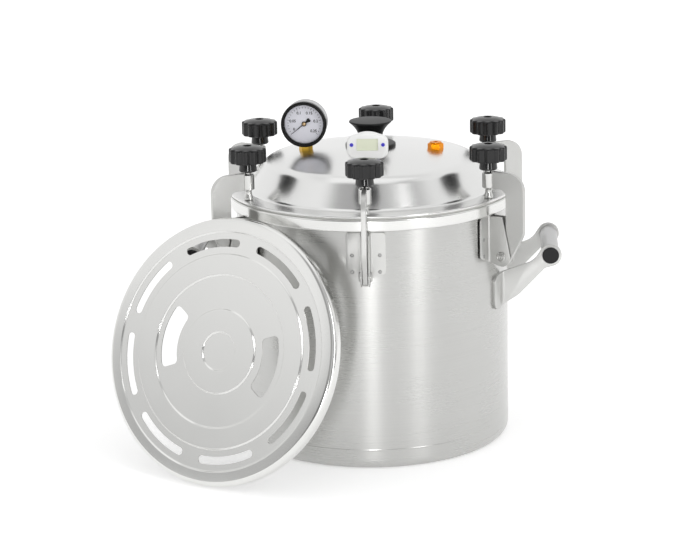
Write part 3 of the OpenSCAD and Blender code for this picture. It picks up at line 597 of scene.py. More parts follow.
# the hexagon of a turned profile, flat up to a height, stood at a place
def milledHex(profile, acrossFlats, reach, turn, place):
    mesh = grown(hexTree, spun(profile, hexSegments), Apothem=acrossFlats / 2 * mm, Reach=reach * mm)
    return finished(moved(mesh, turnZ(turn), shift(place.x, place.y, 0)), sharp=28)


def acrossCorners(acrossFlats):
    return acrossFlats / 2 / math.cos(math.radians(30))


# Relief valve: an orange brass hexagon with a turned cap and a vent
valve = {"acrossFlats": 15.0, "cap": 6.4, "capHigh": 1.2, "vent": 2.5, "ventDeep": 3.0, "chamfer": 1.0,
         "chamferRun": 1.6, "past": 0.01, "turn": 30.0, "rounds": (0, 0.3, 0.3, 0.3, 0.3, 0.5, 0.4, 0.3, 0)}


def valveShape(s):
    low, high = nodeBox("relief_valve")
    r = acrossCorners(s["acrossFlats"])
    top, floor = high.z - s["capHigh"], high.z - s["ventDeep"]
    profile = cornered([(0, low.z), (r, low.z), (r, top - s["chamfer"]), (r - s["chamferRun"] * s["chamfer"], top),
                        (s["cap"], top), (s["cap"], high.z), (s["vent"], high.z), (s["vent"], floor), (0, floor)],
                       s["rounds"], 4)
    return milledHex(profile, s["acrossFlats"], top + s["past"], s["turn"], (low + high) / 2)


addPiece("relief_valve_turned", valveShape(valve), "vessel", valveBrass, "orange_brass", "relief_valve")

# Gauge: fitting, case, bezel, dial with its scale, needle, glass; its own axis is Z before it is turned
gauge = {"turn": 3.0, "bezelWide": 3.9, "bezelDeep": 6.0, "bezelLap": 0.6, "bezelSeat": 0.6, "bezelLip": 0.8,
         "bezelInset": 2.2, "bezelRounds": (0.2, 0.6, 1.4, 0.9, 0.5), "caseDeep": 21.0, "caseIn": 1.0,
         "caseWall": 1.2, "caseRounds": (0, 2.5, 0.3, 0.3, 0, 0), "pocket": 1.5, "dialSink": 1.0,
         "dialLap": 0.5, "dialThick": 0.8, "dialRound": 0.2, "segments": 128}
bezelLow, bezelHigh = nodeBox("gauge_bezel")
gaugeR = (bezelHigh.z - bezelLow.z) / 2
gaugeZ = (bezelHigh.z + bezelLow.z) / 2
fittingLow, fittingHigh = nodeBox("gauge_fitting")
caseCentre = (fittingLow + fittingHigh) / 2
# Z of the gauge's own frame looks out of its face, and its Y is up
faceOut = Matrix.Rotation(math.radians(90), 4, "X")
toGauge = shift(caseCentre.x, caseCentre.y, gaugeZ) @ turnZ(-gauge["turn"]) @ faceOut
faceZ = gauge["caseDeep"] / 2
dialZ = faceZ - gauge["dialSink"]
dialR = gaugeR - gauge["bezelWide"]


def gaugeCase(s):
    r = gaugeR - s["caseIn"]
    inner, floor = r - s["caseWall"], dialZ - s["pocket"]
    return cornered([(0, -faceZ), (r, -faceZ), (r, faceZ), (inner, faceZ), (inner, floor), (0, floor)],
                    s["caseRounds"], 8)


def gaugeBezel(s):
    back, front = faceZ - s["bezelLap"], faceZ + s["bezelDeep"]
    return cornered([(dialR + s["bezelSeat"], back), (gaugeR, back), (gaugeR, front), (dialR + s["bezelLip"], front),
                     (dialR, front - s["bezelInset"])], s["bezelRounds"], 6, True)


def gaugeDial(s):
    r, low = dialR + s["dialLap"], dialZ - s["dialThick"]
    return cornered([(0, low), (r, low), (r, dialZ), (0, dialZ)], (0, 0, s["dialRound"], 0), 3)


# a piece of the gauge turned from a profile
def gaugeTurned(profile, segments=gauge["segments"]):
    return moved(finished(spun(profile, segments)), toGauge)


addPiece("gauge_case_pressed", gaugeTurned(gaugeCase(gauge)), "vessel", caseEnamel, "grey_enamel", "gauge_case")
addPiece("gauge_bezel_ring", gaugeTurned(gaugeBezel(gauge)), "vessel", bezelEnamel, "black_enamel", "gauge_bezel")
addPiece("gauge_dial_disc", gaugeTurned(gaugeDial(gauge)), "vessel", dialEnamel, "white_dial", "gauge_dial")

# Dial scale: short bars on an arc, the longer ones at the numbers
dial = {"start": 219.0, "span": 258.0, "marks": 26, "longEvery": 5.0, "long": 1.7, "markR": 17.8,
        "mark": (1.6, 0.36, 0.08), "numbers": ("0", "0.05", "0.1", "0.15", "0.2", "0.25"), "numberR": 12.9,
        "numberHigh": 4.2, "numberBold": 0.09, "numberDeep": 0.03, "zeroTurn": 10.0, "lift": 0.05}
tickTree, inlet = newTree("dialScale", Marks="Int", Ring="Float", Start="Float", Span="Float", Long="Float")
line = addNode(tickTree, "GeometryNodeMeshLine", {"Count": inlet["Marks"]})
index = addNode(tickTree, "GeometryNodeInputIndex").outputs[0]
share = calc(tickTree, "DIVIDE", index, calc(tickTree, "SUBTRACT", inlet["Marks"], 1.0))
angle = calc(tickTree, "SUBTRACT", inlet["Start"], calc(tickTree, "MULTIPLY", share, inlet["Span"]))
spoke = asVector(tickTree, calc(tickTree, "COSINE", angle), calc(tickTree, "SINE", angle))
spots = addNode(tickTree, "GeometryNodeSetPosition", {0: line.outputs[0],
                                                     "Position": scaledVector(tickTree, spoke, inlet["Ring"])})
isLong = calc(tickTree, "LESS_THAN", calc(tickTree, "MODULO", index, dial["longEvery"]), 0.5)
stretch = asVector(tickTree, mixed(tickTree, isLong, 1.0, inlet["Long"]), 1.0, 1.0)
bar = addNode(tickTree, "GeometryNodeMeshCube", {"Size": tuple(side * mm for side in dial["mark"])})
bars = addNode(tickTree, "GeometryNodeInstanceOnPoints", {"Points": spots.outputs[0], "Instance": bar.outputs[0],
                                                         "Rotation": asVector(tickTree, z=angle), "Scale": stretch})
endTree(tickTree, bars.outputs[0], dialInk)
marks = grown(tickTree, pointMesh([(0, 0, 0)]), Marks=dial["marks"], Ring=dial["markR"] * mm,
              Start=math.radians(dial["start"]), Span=math.radians(dial["span"]), Long=dial["long"])


def dialNumbers(s):
    meshes = []
    for k, words in enumerate(s["numbers"]):
        curve = bpy.data.curves.new("number", "FONT")
        curve.body, curve.size, curve.offset = words, s["numberHigh"] * mm, s["numberBold"] * mm
        curve.align_x, curve.align_y, curve.extrude = "CENTER", "CENTER", s["numberDeep"] * mm
        work = bpy.data.objects.new("number", curve)
        scene.collection.objects.link(work)
        mesh = plainMesh(work)
        # the zero stands beside its mark, clear of the pointer
        swept = s["span"] * k / (len(s["numbers"]) - 1) if k else s["zeroTurn"]
        turn = math.radians(s["start"] - swept)
        mesh.transform(shift(s["numberR"] * math.cos(turn), s["numberR"] * math.sin(turn), 0))
        meshes.append(mesh)
    return joined(*meshes)


printed = joined(marks, dialNumbers(dial))
addPiece("gauge_scale", moved(printed, shift(0, 0, dialZ + dial["lift"]), toGauge), "vessel", dialInk, "black_enamel")

# Needle: a slim pointer with a fat tail, as (length, half width), and a round boss
needle = {"lift": 1.4, "thick": 0.5, "edge": 0.08, "pointer": ((0.75, 0.6), (-17.0, 0.25)),
          "tail": ((0.0, 0.7), (2.8, 0.8), (6.8, 2.4), (8.0, 1.6)), "boss": 2.7}


def needleShape(s):
    z = dialZ + s["lift"]
    outlines = [[(x, -w) for x, w in half] + [(x, w) for x, w in half[::-1]] for half in (s["pointer"], s["tail"])]
    outlines.append(arcPoints((0, 0), s["boss"], 0, 345, 23))
    flat = Matrix.Rotation(math.radians(-90), 4, "X")
    parts = [moved(flatPlate(outline, -z - s["thick"], -z), flat) for outline in outlines]
    return moved(finished(joined(*parts), s["edge"], 1), turnZ(dial["start"] - 180))


addPiece("gauge_pointer", moved(needleShape(needle), toGauge), "vessel", dialInk, "black_enamel", "gauge_needle")

# the needle's pin with its domed head, as (radius, height over the dial)
pin = {"profile": ((0, -0.2), (0.8, -0.2), (0.8, 1.2), (1.9, 1.2), (1.9, 2.3), (0.5, 2.6), (0, 2.4)),
       "rounds": (0, 0, 0, 0.2, 0.5, 0.3, 0), "segments": 48}
pinLine = cornered([(r, dialZ + z) for r, z in pin["profile"]], pin["rounds"], 4)
addPiece("gauge_hub", gaugeTurned(pinLine, pin["segments"]), "vessel", hubBrass, "brass")

# window glass, a little domed: shows the dial with one soft reflection
pane = {"inset": 2.6, "lap": 0.3, "thick": 1.0, "crown": 0.5, "segments": 96, "hazeMm": 8, "rough": (0.02, 0.06),
        "ior": 1.2, "alpha": 0.08}
glassFinish, tree, shader, place = newMaterial("gauge_window_glass")
gloss = mapped(tree, noise(tree, place, pane["hazeMm"], 2.0), 0.0, 1.0, *pane["rough"])
tree.links.new(gloss, shader.inputs["Roughness"])
shader.inputs["Base Color"].default_value = linear("#ffffff")
shader.inputs["Transmission Weight"].default_value = 1.0
shader.inputs["IOR"].default_value = pane["ior"]
shader.inputs["Alpha"].default_value = pane["alpha"]
paneLow = faceZ + gauge["bezelDeep"] - pane["inset"]
paneHigh, paneR = paneLow + pane["thick"], dialR + pane["lap"]
paneLine = [(0, paneLow), (paneR, paneLow), (paneR, paneHigh)] + crownPoints(dialR, paneHigh, pane["crown"])
addPiece("gauge_window", gaugeTurned(paneLine, pane["segments"]), "vessel", glassFinish, "gauge_glass", "gauge_glass")

# brass fitting between the lid and the case, chamfered at its top
fitting = {"acrossFlats": 13.0, "chamfer": 1.4, "into": 0.6, "past": 2.0, "turn": 30.0,
           "rounds": (0, 0.4, 0.3, 0.3, 0)}


def fittingShape(s):
    r = acrossCorners(s["acrossFlats"])
    low, high, top = fittingLow.z, fittingHigh.z, fittingHigh.z + s["into"]
    profile = cornered([(0, low), (r, low), (r, high - s["chamfer"]), (r - s["chamfer"], top), (0, top)],
                       s["rounds"], 4)
    return milledHex(profile, s["acrossFlats"], high + s["past"], s["turn"] - gauge["turn"], caseCentre)


addPiece("gauge_fitting_milled", fittingShape(fitting), "vessel", fittingBrass, "brass", "gauge_fitting")
print("stage: gauge and valve")

# Thermometer: a round-cornered head with a recessed window, buttons, and a gland in the lid
thermo = {"corner": 9.0, "arch": 3.0, "edge": 2.2, "window": (23.0, 13.0), "windowRound": 0.8, "recess": 2.2,
          "screenThick": 0.4, "screenSink": 0.1, "screenGap": 0.05, "screenEdge": 0.1, "buttonR": 2.0,
          "buttonRound": 0.5, "buttonCrown": 0.15}
headLow, headHigh = nodeBox("thermometer_head")
screenLow, screenHigh = nodeBox("thermometer_display")


def headOutline(s):
    half = headHigh.x - s["corner"]
    low, high = headLow.z + s["corner"], headHigh.z - s["arch"] - s["corner"]
    archR = (half * half + s["arch"] ** 2) / (2 * s["arch"])
    archA = math.degrees(math.asin(half / archR))
    return (arcPoints((half, low), s["corner"], -90, 0, 12) + arcPoints((half, high), s["corner"], 0, 90 - archA, 12)
            + arcPoints((0, headHigh.z - archR), archR, 90 - archA, 90 + archA, 16)[1:-1]
            + arcPoints((-half, high), s["corner"], 90 + archA, 180, 12)
            + arcPoints((-half, low), s["corner"], 180, 270, 12))


def windowOutline(s, grow):
    w, h = s["window"][0] / 2 + grow, s["window"][1] / 2 + grow
    z = (screenLow.z + screenHigh.z) / 2
    return roundedLine([(w, z - h, s["windowRound"]), (w, z + h, s["windowRound"]),
                        (-w, z + h, s["windowRound"]), (-w, z - h, s["windowRound"])], 4, True)


# the face is filled between the outline and the window, and the window's walls go back from it
def headShape(s):
    bm = bmesh.new()
    front, back = headLow.y, headHigh.y
    loops = {}
    for key, outline, y in (("front", headOutline(s), front), ("back", headOutline(s), back),
                            ("rim", windowOutline(s, 0), front), ("floor", windowOutline(s, 0), front + s["recess"])):
        verts = [bm.verts.new((x * mm, y * mm, z * mm)) for x, z in outline]
        loops[key] = (verts, [bm.edges.new((verts[i], verts[(i + 1) % len(verts)])) for i in range(len(verts))])
    bmesh.ops.triangle_fill(bm, use_beauty=True, edges=loops["front"][1] + loops["rim"][1])
    bm.faces.new(loops["back"][0])
    bm.faces.new(loops["floor"][0])
    for a, b in (("front", "back"), ("rim", "floor")):
        first, second = loops[a][0], loops[b][0]
        for i in range(len(first)):
            j = (i + 1) % len(first)
            bm.faces.new((first[i], first[j], second[j], second[i]))
    bmesh.ops.recalc_face_normals(bm, faces=bm.faces)
    edges = [e for e in loops["front"][1] + loops["back"][1] if e.is_valid]
    bmesh.ops.bevel(bm, geom=edges, offset=s["edge"] * mm, segments=6, profile=0.5, affect="EDGES")
    return toMesh(bm)


addPiece("thermometer_head_moulded", finished(headShape(thermo), sharp=50), "vessel", thermoPlastic,
         "white_plastic", "thermometer_head")
screenY = headLow.y + thermo["recess"] + thermo["screenSink"]
screen = flatPlate(windowOutline(thermo, -thermo["screenGap"]), screenY - thermo["screenThick"], screenY)
addPiece("thermometer_screen", finished(screen, thermo["screenEdge"], 2), "vessel", displayGlass, "display_glass",
         "thermometer_display")


def buttonsShape(s):
    low, high = nodeBox("thermometer_buttons")
    tall = high.y - low.y
    dome = spun(roundedLine([(0, 0, 0), (s["buttonR"], 0, 0), (s["buttonR"], tall, s["buttonRound"]),
                             (0, tall + s["buttonCrown"], 0)], 5), 48)
    return joined(*[moved(dome, faceOut, shift(x, high.y, (low.z + high.z) / 2))
                    for x in (low.x + s["buttonR"], high.x - s["buttonR"])])


addPiece("thermometer_keys", finished(buttonsShape(thermo)), "vessel", buttonRubber, "blue_rubber",
         "thermometer_buttons")
gland = {"r": 8.0, "chamferHigh": 1.2, "chamferWide": 2.5, "rounds": (0, 0.3, 0.8, 0.4, 0), "segments": 64}


def glandShape(s):
    low, high = nodeBox("thermometer_gland")
    middle = (low + high) / 2
    profile = cornered([(0, low.z), (s["r"], low.z), (s["r"], high.z - s["chamferHigh"]),
                        (s["r"] - s["chamferWide"], high.z), (0, high.z)], s["rounds"], 4)
    return moved(finished(spun(profile, s["segments"])), shift(middle.x, middle.y, 0))


addPiece("thermometer_gland_turned", glandShape(gland), "vessel", chromeSteel, "polished_steel",
         "thermometer_gland")
print("stage: thermometer")

# Clamps: sizes in the plane through the pot's axis; X is the distance from it
clamp = {"screwRing": 148.0, "pivot": (166.0, 218.0), "armThick": 5.0, "armIn": 170.0, "armWide": 21.5,
         "armCorner": 22.0, "armInner": 7.0, "kneeUp": 26.0, "kneeOuter": 18.0, "kneeInner": 9.0, "eyeR": 10.0,
         "barHigh": 18.5, "armStart": 4.6, "armEdge": 0.45}
nut = {"r": 6.65, "long": 17.5, "chamfer": 1.1, "gap": 0.05, "rounds": (0.2, 0.4, 0.4, 0.4, 0.4, 0.2), "segments": 64}
foot = {"r": 5.0, "neckR": 3.5, "boreR": 2.6, "bellHigh": 2.0, "bellEnd": 6.0, "boreFrom": 4.0,
        "rounds": (0, 0.5, 0.8, 2, 0.5, 0.2, 0, 0), "segments": 64}
screw = {"r": 4.0, "pitch": 1.25, "rootDeep": 0.45, "ridge": 0.42, "pinR": 2.45, "pinPast": 0.3, "threadFrom": 0.8,
         "threadShort": 1.5, "rounds": (0, 0.3, 0, 0.3, 0.3, 0), "segments": 48}
footLow, footHigh = nodeBox("clamp_foot_front")
screwLow, screwHigh = nodeBox("clamp_screw_front")
knobLow, knobHigh = nodeBox("clamp_knob_front")
armTop = nodeBox("clamp_arm_front")[1].z
armLow = armTop - clamp["barHigh"]


def armShape(s):
    # the arm ends in the nut's wall, clear of the bore
    start = s["screwRing"] + s["armStart"]
    out = s["armIn"] + s["armWide"]
    kneeZ = s["pivot"][1] + s["kneeUp"]
    outer, inner = (out, kneeZ, s["kneeOuter"]), (s["armIn"], kneeZ, s["kneeInner"])
    outline = roundedLine([(start, armTop, 0), (out, armTop, s["armCorner"]), outer,
                           *roundEnd(s["pivot"], s["eyeR"], outer, inner), inner,
                           (s["armIn"], armLow, s["armInner"]), (start, armLow, 0)], 12, True)
    return finished(flatPlate(outline, -s["armThick"] / 2, s["armThick"] / 2), s["armEdge"], 2)


def nutShape(s):
    c, top, bore = s["chamfer"], armLow + s["long"], screw["r"] + s["gap"]
    spots = [(bore, armLow), (s["r"] - c, armLow), (s["r"], armLow + c), (s["r"], top - c), (s["r"] - c, top),
             (bore, top)]
    return finished(spun(cornered(spots, s["rounds"], 4, True), s["segments"]))


# bell-shaped swivel foot
def footShape(s):
    low, high, floor = footLow.z, footHigh.z, footLow.z + s["boreFrom"]
    spots = [(0, low), (s["r"], low), (s["r"], low + s["bellHigh"]), (s["neckR"], low + s["bellEnd"]),
             (s["neckR"], high), (s["boreR"], high), (s["boreR"], floor), (0, floor)]
    return finished(spun(cornered(spots, s["rounds"], 6), s["segments"]))


# the thread follows a spiral up the screw's shank
threadTree, inlet = newTree("screwThread", Turns="Float", Radius="Float", Height="Float", Ridge="Float")
spiral = addNode(threadTree, "GeometryNodeCurveSpiral", {"Resolution": 24, "Rotations": inlet["Turns"],
                                                       "Start Radius": inlet["Radius"],
                                                       "End Radius": inlet["Radius"],
                                                       "Height": inlet["Height"]})
ridge = addNode(threadTree, "GeometryNodeCurvePrimitiveCircle", {"Resolution": 4, "Radius": inlet["Ridge"]})
thread = addNode(threadTree, "GeometryNodeCurveToMesh", {"Curve": spiral.outputs[0],
                                                        "Profile Curve": ridge.outputs[0], "Fill Caps": True})
endTree(threadTree, thread.outputs[0], chromeSteel)


def screwShape(s):
    root, neck = s["r"] - s["rootDeep"], footHigh.z + s["pinPast"]
    shank = cornered([(0, screwLow.z), (s["pinR"], screwLow.z), (s["pinR"], neck), (root, neck),
                      (root, screwHigh.z), (0, screwHigh.z)], s["rounds"], 3)
    long = screwHigh.z - footHigh.z - s["threadShort"]
    coil = grown(threadTree, pointMesh([(0, 0, 0)]), Turns=long / s["pitch"],
                 Radius=(s["r"] - s["ridge"]) * mm, Height=long * mm, Ridge=s["ridge"] * mm)
    return joined(finished(spun(shank, s["segments"])), moved(coil, shift(0, 0, footHigh.z + s["threadFrom"])))


# the knob's flutes are a rule: the turned blank is drawn in where a raised cosine says
knob = {"r": 20.0, "bore": 4.05, "hubR": 10.0, "hubTop": 8.9, "hubHigh": 10.0, "hubRound": 1.8, "hubGap": 0.1,
        "boreRound": 0.2, "collar": 0.6, "collarHigh": 0.2, "collarRound": 0.1, "edge": 1.6, "rim": 2.2,
        "rimIn": 1.0, "rimDrop": 0.2, "rimRise": 0.35, "domeHigh": 2.5, "domeBend": 1.7, "domeSteps": 10,
        "holeR": 4.5, "holeDeep": 3.0, "holeLip": 0.6, "taper": 0.2, "soft": 0.4, "bossR": 2.2, "bossDeep": 1.2,
        "ringGap": 1.2, "flutes": 12, "fluteDeep": 2.1, "fluteSharp": 1.2, "fluteFade": 4.0, "segments": 192}
knobTree, inlet = newTree("flutedKnob", Flutes="Float", Depth="Float", Sharp="Float", Inner="Float", Outer="Float")
angle, height, flat, radius = polarInputs(knobTree)
wave = calc(knobTree, "COSINE", calc(knobTree, "MULTIPLY", angle, inlet["Flutes"]))
groove = calc(knobTree, "POWER", calc(knobTree, "MULTIPLY_ADD", wave, -0.5, 0.5), inlet["Sharp"])
fade = mapped(knobTree, radius, inlet["Inner"], inlet["Outer"], interpolation_type="SMOOTHSTEP")
cut = calc(knobTree, "MULTIPLY", calc(knobTree, "MULTIPLY", groove, inlet["Depth"]), fade)
inward = scaledVector(knobTree, vectorCalc(knobTree, "NORMALIZE", flat), calc(knobTree, "MULTIPLY", cut, -1.0))
placed = addNode(knobTree, "GeometryNodeSetPosition", {0: inlet["Geometry"], "Offset": inward})
endTree(knobTree, placed.outputs[0], knobPlastic)


def knobShape(s):
    body, top = knobLow.z + s["hubHigh"], knobHigh.z
    seat, shoulder = body - s["collarHigh"], top - s["domeHigh"]
    floor, boss = top - s["holeDeep"], top - s["bossDeep"]
    rimR, lipR = s["r"] - s["rim"], s["holeR"] + s["holeLip"]
    side = roundedLine([(s["bore"], seat, 0), (s["hubTop"] - s["collar"], seat, 0),
                        (s["hubTop"], body, s["collarRound"]), (s["r"], body, s["edge"]),
                        (s["r"], shoulder - s["rimDrop"], s["rim"]),
                        (rimR - s["rimIn"], shoulder + s["rimRise"], 0)], 6)
    shares = [k / s["domeSteps"] for k in range(1, s["domeSteps"] + 1)]
    dome = [(rimR - (rimR - lipR) * t, shoulder + s["domeHigh"] * (1 - (1 - t) ** s["domeBend"])) for t in shares]
    hole = roundedLine([(lipR, top, 0), (s["holeR"], top, s["soft"]), (s["holeR"] - s["taper"], floor, s["soft"]),
                        (s["bossR"] + s["taper"], floor, s["taper"]), (s["bossR"], boss, s["soft"]), (0, boss, 0),
                        (0, screwHigh.z, 0), (s["bore"], screwHigh.z, 0)], 4)
    profile = side + dome + hole[1:]
    # the long flat sides need rings of their own for the flutes to fade over
    dense = []
    for (r0, z0), (r1, z1) in zip(profile, profile[1:]):
        count = max(1, round(math.dist((r0, z0), (r1, z1)) / s["ringGap"]))
        dense += [(r0 + (r1 - r0) * k / count, z0 + (z1 - z0) * k / count) for k in range(count)]
    mesh = spun(dense + profile[-1:], s["segments"])
    return grown(knobTree, mesh, Flutes=float(s["flutes"]), Depth=s["fluteDeep"] * mm, Sharp=s["fluteSharp"],
                 Inner=(s["r"] - s["fluteFade"]) * mm, Outer=s["r"] * mm)


# the hub under the knob, wider at its foot
def hubShape(s):
    low, top = knobLow.z, knobLow.z + s["hubHigh"] - s["hubGap"]
    return spun(roundedLine([(s["bore"], low, s["boreRound"]), (s["hubR"], low, s["hubRound"]),
                             (s["hubTop"], top, 0), (s["bore"], top, 0)], 6, True), s["segments"] // 2)


armMesh, nutMesh, footMesh = armShape(clamp), nutShape(nut), footShape(foot)
screwMesh, knobMesh, hubMesh = screwShape(screw), finished(knobShape(knob)), finished(hubShape(knob))
upright = shift(clamp["screwRing"], 0, 0)
for name, turn in clampAngles.items():
    around = turnZ(turn)
    arm = f"clamp_arm_{name}"
    addPiece(f"{arm}_cut", moved(armMesh, around), bodyOf(arm), sheetSteel, "zinc_steel", arm)
    addPiece(f"clamp_nut_{name}", moved(nutMesh, upright, around), bodyOf(arm), chromeSteel, "polished_steel")
    addPiece(f"clamp_hub_{name}", moved(hubMesh, upright, around), bodyOf(f"clamp_knob_{name}"), hubPlastic,
             "black_plastic")
    for kind, mesh, finish, slot in (("foot", footMesh, chromeSteel, "polished_steel"),
                                     ("screw", screwMesh, chromeSteel, "zinc_steel"),
                                     ("knob", knobMesh, knobPlastic, "black_plastic")):
        node = f"clamp_{kind}_{name}"
        addPiece(f"{node}_turned", moved(mesh, upright, around), bodyOf(node), finish, slot, node)
print("stage: clamps")

# Brackets: each half is one sheet bent into a flange on the wall and an ear that carries the bolt
bracket = {"thick": 1.5, "half": 21.0, "bend": 2.6, "earMid": 4.05, "earTop": 18.0, "earR": 10.5, "earSpare": 2.0,
           "rootOut": 5.0, "rootDrop": 0.4, "corner": 4.0, "slant": 7.0, "edge": 0.25, "low": 210.5, "high": 261.5}


def bracketShape(s):
    flangeX = potR + s["thick"] / 2
    bendY = s["earMid"] + s["bend"]
    arc = arcPoints((flangeX + s["bend"], bendY), s["bend"], 180, 270, 6)
    path = [(flangeX, s["half"])] + arc + [(clamp["pivot"][0] + s["earR"] + s["earSpare"], s["earMid"])]
    bendLong = s["bend"] * math.pi / 2

    def earAt(x):
        return s["half"] - bendY + bendLong + x - flangeX - s["bend"]

    pivot = (earAt(clamp["pivot"][0]), clamp["pivot"][1])
    top = (earAt(potR + s["earTop"]), s["high"], 0)
    root = (earAt(potR + s["rootOut"]), s["low"] - s["rootDrop"], 0)
    outline = roundedLine([(0, s["high"], s["corner"]), top, *roundEnd(pivot, s["earR"], top, root), root,
                           (0, s["low"] + s["slant"], s["corner"])], 6, True)
    return withMirror(finished(bentSheet(outline, path, s["thick"]), s["edge"], 2))


addPiece("bracket_sheets", atAllClamps(bracketShape(bracket)), "vessel", sheetSteel, "zinc_steel", "clamp_brackets")

# Spot welds: a low ring round a flat puddle, one at each point
weld = {"side": 14.5, "heights": (237.0, 219.0), "ring": 1.7, "bead": 0.35, "puddle": (0.8, 0.8, 0.12)}
spotTree, inlet = newTree("spotWelds", Ring="Float", Bead="Float")
circle = addNode(spotTree, "GeometryNodeCurvePrimitiveCircle", {"Resolution": 20, "Radius": inlet["Ring"]})
bead = addNode(spotTree, "GeometryNodeCurvePrimitiveCircle", {"Resolution": 6, "Radius": inlet["Bead"]})
rings = addNode(spotTree, "GeometryNodeCurveToMesh", {"Curve": circle.outputs[0], "Profile Curve": bead.outputs[0]})
puddle = addNode(spotTree, "GeometryNodeMeshUVSphere", {"Segments": 16, "Rings": 8, "Radius": inlet["Ring"]})
flatPuddle = addNode(spotTree, "GeometryNodeTransform", {0: puddle.outputs[0], "Scale": weld["puddle"]})
spot = addNode(spotTree, "GeometryNodeJoinGeometry", {0: rings.outputs[0]})
spotTree.links.new(flatPuddle.outputs[0], spot.inputs[0])
spots = addNode(spotTree, "GeometryNodeInstanceOnPoints", {"Points": inlet["Geometry"], "Instance": spot.outputs[0],
                                                          "Rotation": (0, math.radians(90), 0)})
smooth = addNode(spotTree, "GeometryNodeSetShadeSmooth", {0: spots.outputs[0]})
endTree(spotTree, smooth.outputs[0], weldSteel)
weldX = potR + bracket["thick"]
weldPoints = pointMesh([(weldX, side * weld["side"], z) for side in (-1, 1) for z in weld["heights"]])
weldMesh = grown(spotTree, weldPoints, Ring=weld["ring"] * mm, Bead=weld["bead"] * mm)
addPiece("bracket_spot_welds", atAllClamps(weldMesh), "vessel", weldSteel, "zinc_steel")

# Pivot bolts: a button head with a turned ring and a dimple at each end
bolt = {"r": 3.0, "headR": 5.5, "headHigh": 2.5, "headSide": 1.2, "ringR": 3.2, "ringDeep": 1.2, "ringTop": 0.9,
        "ringFloor": 0.3, "outerFall": 0.2, "innerFall": 0.1, "dimple": 1.1, "dimpleDeep": 0.9, "dimpleTaper": 0.2,
        "rounds": (0, 0, 0, 0.3, 1.0, 0.3, 0.2, 0.2, 0.3, 0.3, 0.3, 0), "segments": 48}


def boltShape(s):
    out = bracket["earMid"] + bracket["thick"] / 2
    top = out + s["headHigh"]
    ring, groove, pit = s["ringR"], top - s["ringDeep"], top - s["dimpleDeep"]
    spots = [(0, 0), (s["r"], 0), (s["r"], out), (s["headR"], out), (s["headR"], out + s["headSide"]),
             (ring + s["ringTop"], top - s["outerFall"]), (ring + s["ringFloor"], groove),
             (ring - s["ringFloor"], groove), (ring - s["ringTop"], top - s["innerFall"]),
             (s["dimple"], top), (s["dimple"] - s["dimpleTaper"], pit), (0, pit)]
    return atBothEnds(finished(spun(cornered(spots, s["rounds"], 4), s["segments"])), *clamp["pivot"])


addPiece("pivot_bolts_turned", atAllClamps(boltShape(bolt)), "vessel", boltNickel, "polished_steel", "pivot_bolts")
print("stage: brackets")

# Handles: bent side plates, a grip tube and its end plugs
handle = {"thick": 3.0, "eyeR": 12.0, "endSpare": 1.0, "rootDrop": 19.0, "rootHigh": 38.0, "rootRound": 24.0,
          "knee": (18.0, -6.0, 30.0), "neck": (6.0, -14.0, 8.0), "bend": (35.0, -44.0, 30.0), "bendR": 5.0,
          "tabOut": 69.5, "tabCorner": 9.0, "edge": 0.5}
grip = {"wall": 1.5, "past": 0.4, "rounds": (0.5, 0.5, 0.3, 0.3), "plugR": 9.0, "plugThick": 2.0,
        "plugLong": 10.0, "plugGap": 0.02, "plugDome": 2.5, "plugFall": 0.2,
        "plugRounds": (0, 0.5, 0, 0.2, 1.0, 1.0, 0), "segments": 64}
gripLow, gripHigh = nodeBox("right_handle_grip")
gripX, gripZ = (gripLow.x + gripHigh.x) / 2, (gripLow.z + gripHigh.z) / 2
gripR = (gripHigh.z - gripLow.z) / 2
gripHalf = gripHigh.y


def handlePlate(s):
    y = gripHalf - s["thick"] / 2
    wallR = potR + s["thick"] / 2
    endX = gripX + s["eyeR"] + s["endSpare"]
    bendY = y + s["bendR"]
    bendX = math.sqrt((wallR + s["bendR"]) ** 2 - bendY ** 2)
    lean = math.degrees(math.atan2(bendY, bendX))
    tabEnd = math.degrees(math.asin(s["tabOut"] / wallR))
    arc = arcPoints((bendX, bendY), s["bendR"], -90, lean - 180, 8)
    wall = arcPoints((0, 0), wallR, lean, tabEnd, 6)[1:]
    path = [(endX, y)] + arc + wall
    tabStart = endX - bendX + s["bendR"] * math.radians(90 - lean)
    tabLast = tabStart + wallR * math.radians(tabEnd - lean)

    eyeAt = endX - gripX
    knee, neck, bend = [(eyeAt + x, gripZ + z, r) for x, z, r in (s["knee"], s["neck"], s["bend"])]
    top = gripZ - s["rootDrop"]
    low = top - s["rootHigh"]
    outline = roundedLine([*roundEnd((eyeAt, gripZ), s["eyeR"], neck, knee), knee, (tabStart, top, s["rootRound"]),
                           (tabLast, top, s["tabCorner"]), (tabLast, low, s["tabCorner"]),
                           (tabStart, low, s["rootRound"]), bend, neck], 12, True)
    return finished(bentSheet(outline, path, s["thick"]), s["edge"], 2)


def gripTube(s):
    inside, end = gripR - s["wall"], gripHalf + s["past"]
    spots = [(gripR, -end), (gripR, end), (inside, end), (inside, -end)]
    mesh = finished(spun(cornered(spots, s["rounds"], 4, True), s["segments"]))
    return moved(mesh, faceOut, shift(gripX, 0, gripZ))


def gripPlugs(s):
    stem, low = gripR - s["wall"] - s["plugGap"], gripHalf - s["plugLong"]
    lip, top = gripHalf + s["past"], gripHalf + s["plugThick"]
    spots = [(0, low), (stem, low), (stem, lip), (s["plugR"], lip), (s["plugR"], top - s["plugFall"]),
             (s["plugR"] - s["plugDome"], top), (0, top)]
    return atBothEnds(finished(spun(cornered(spots, s["plugRounds"], 5), s["segments"])), gripX, gripZ)


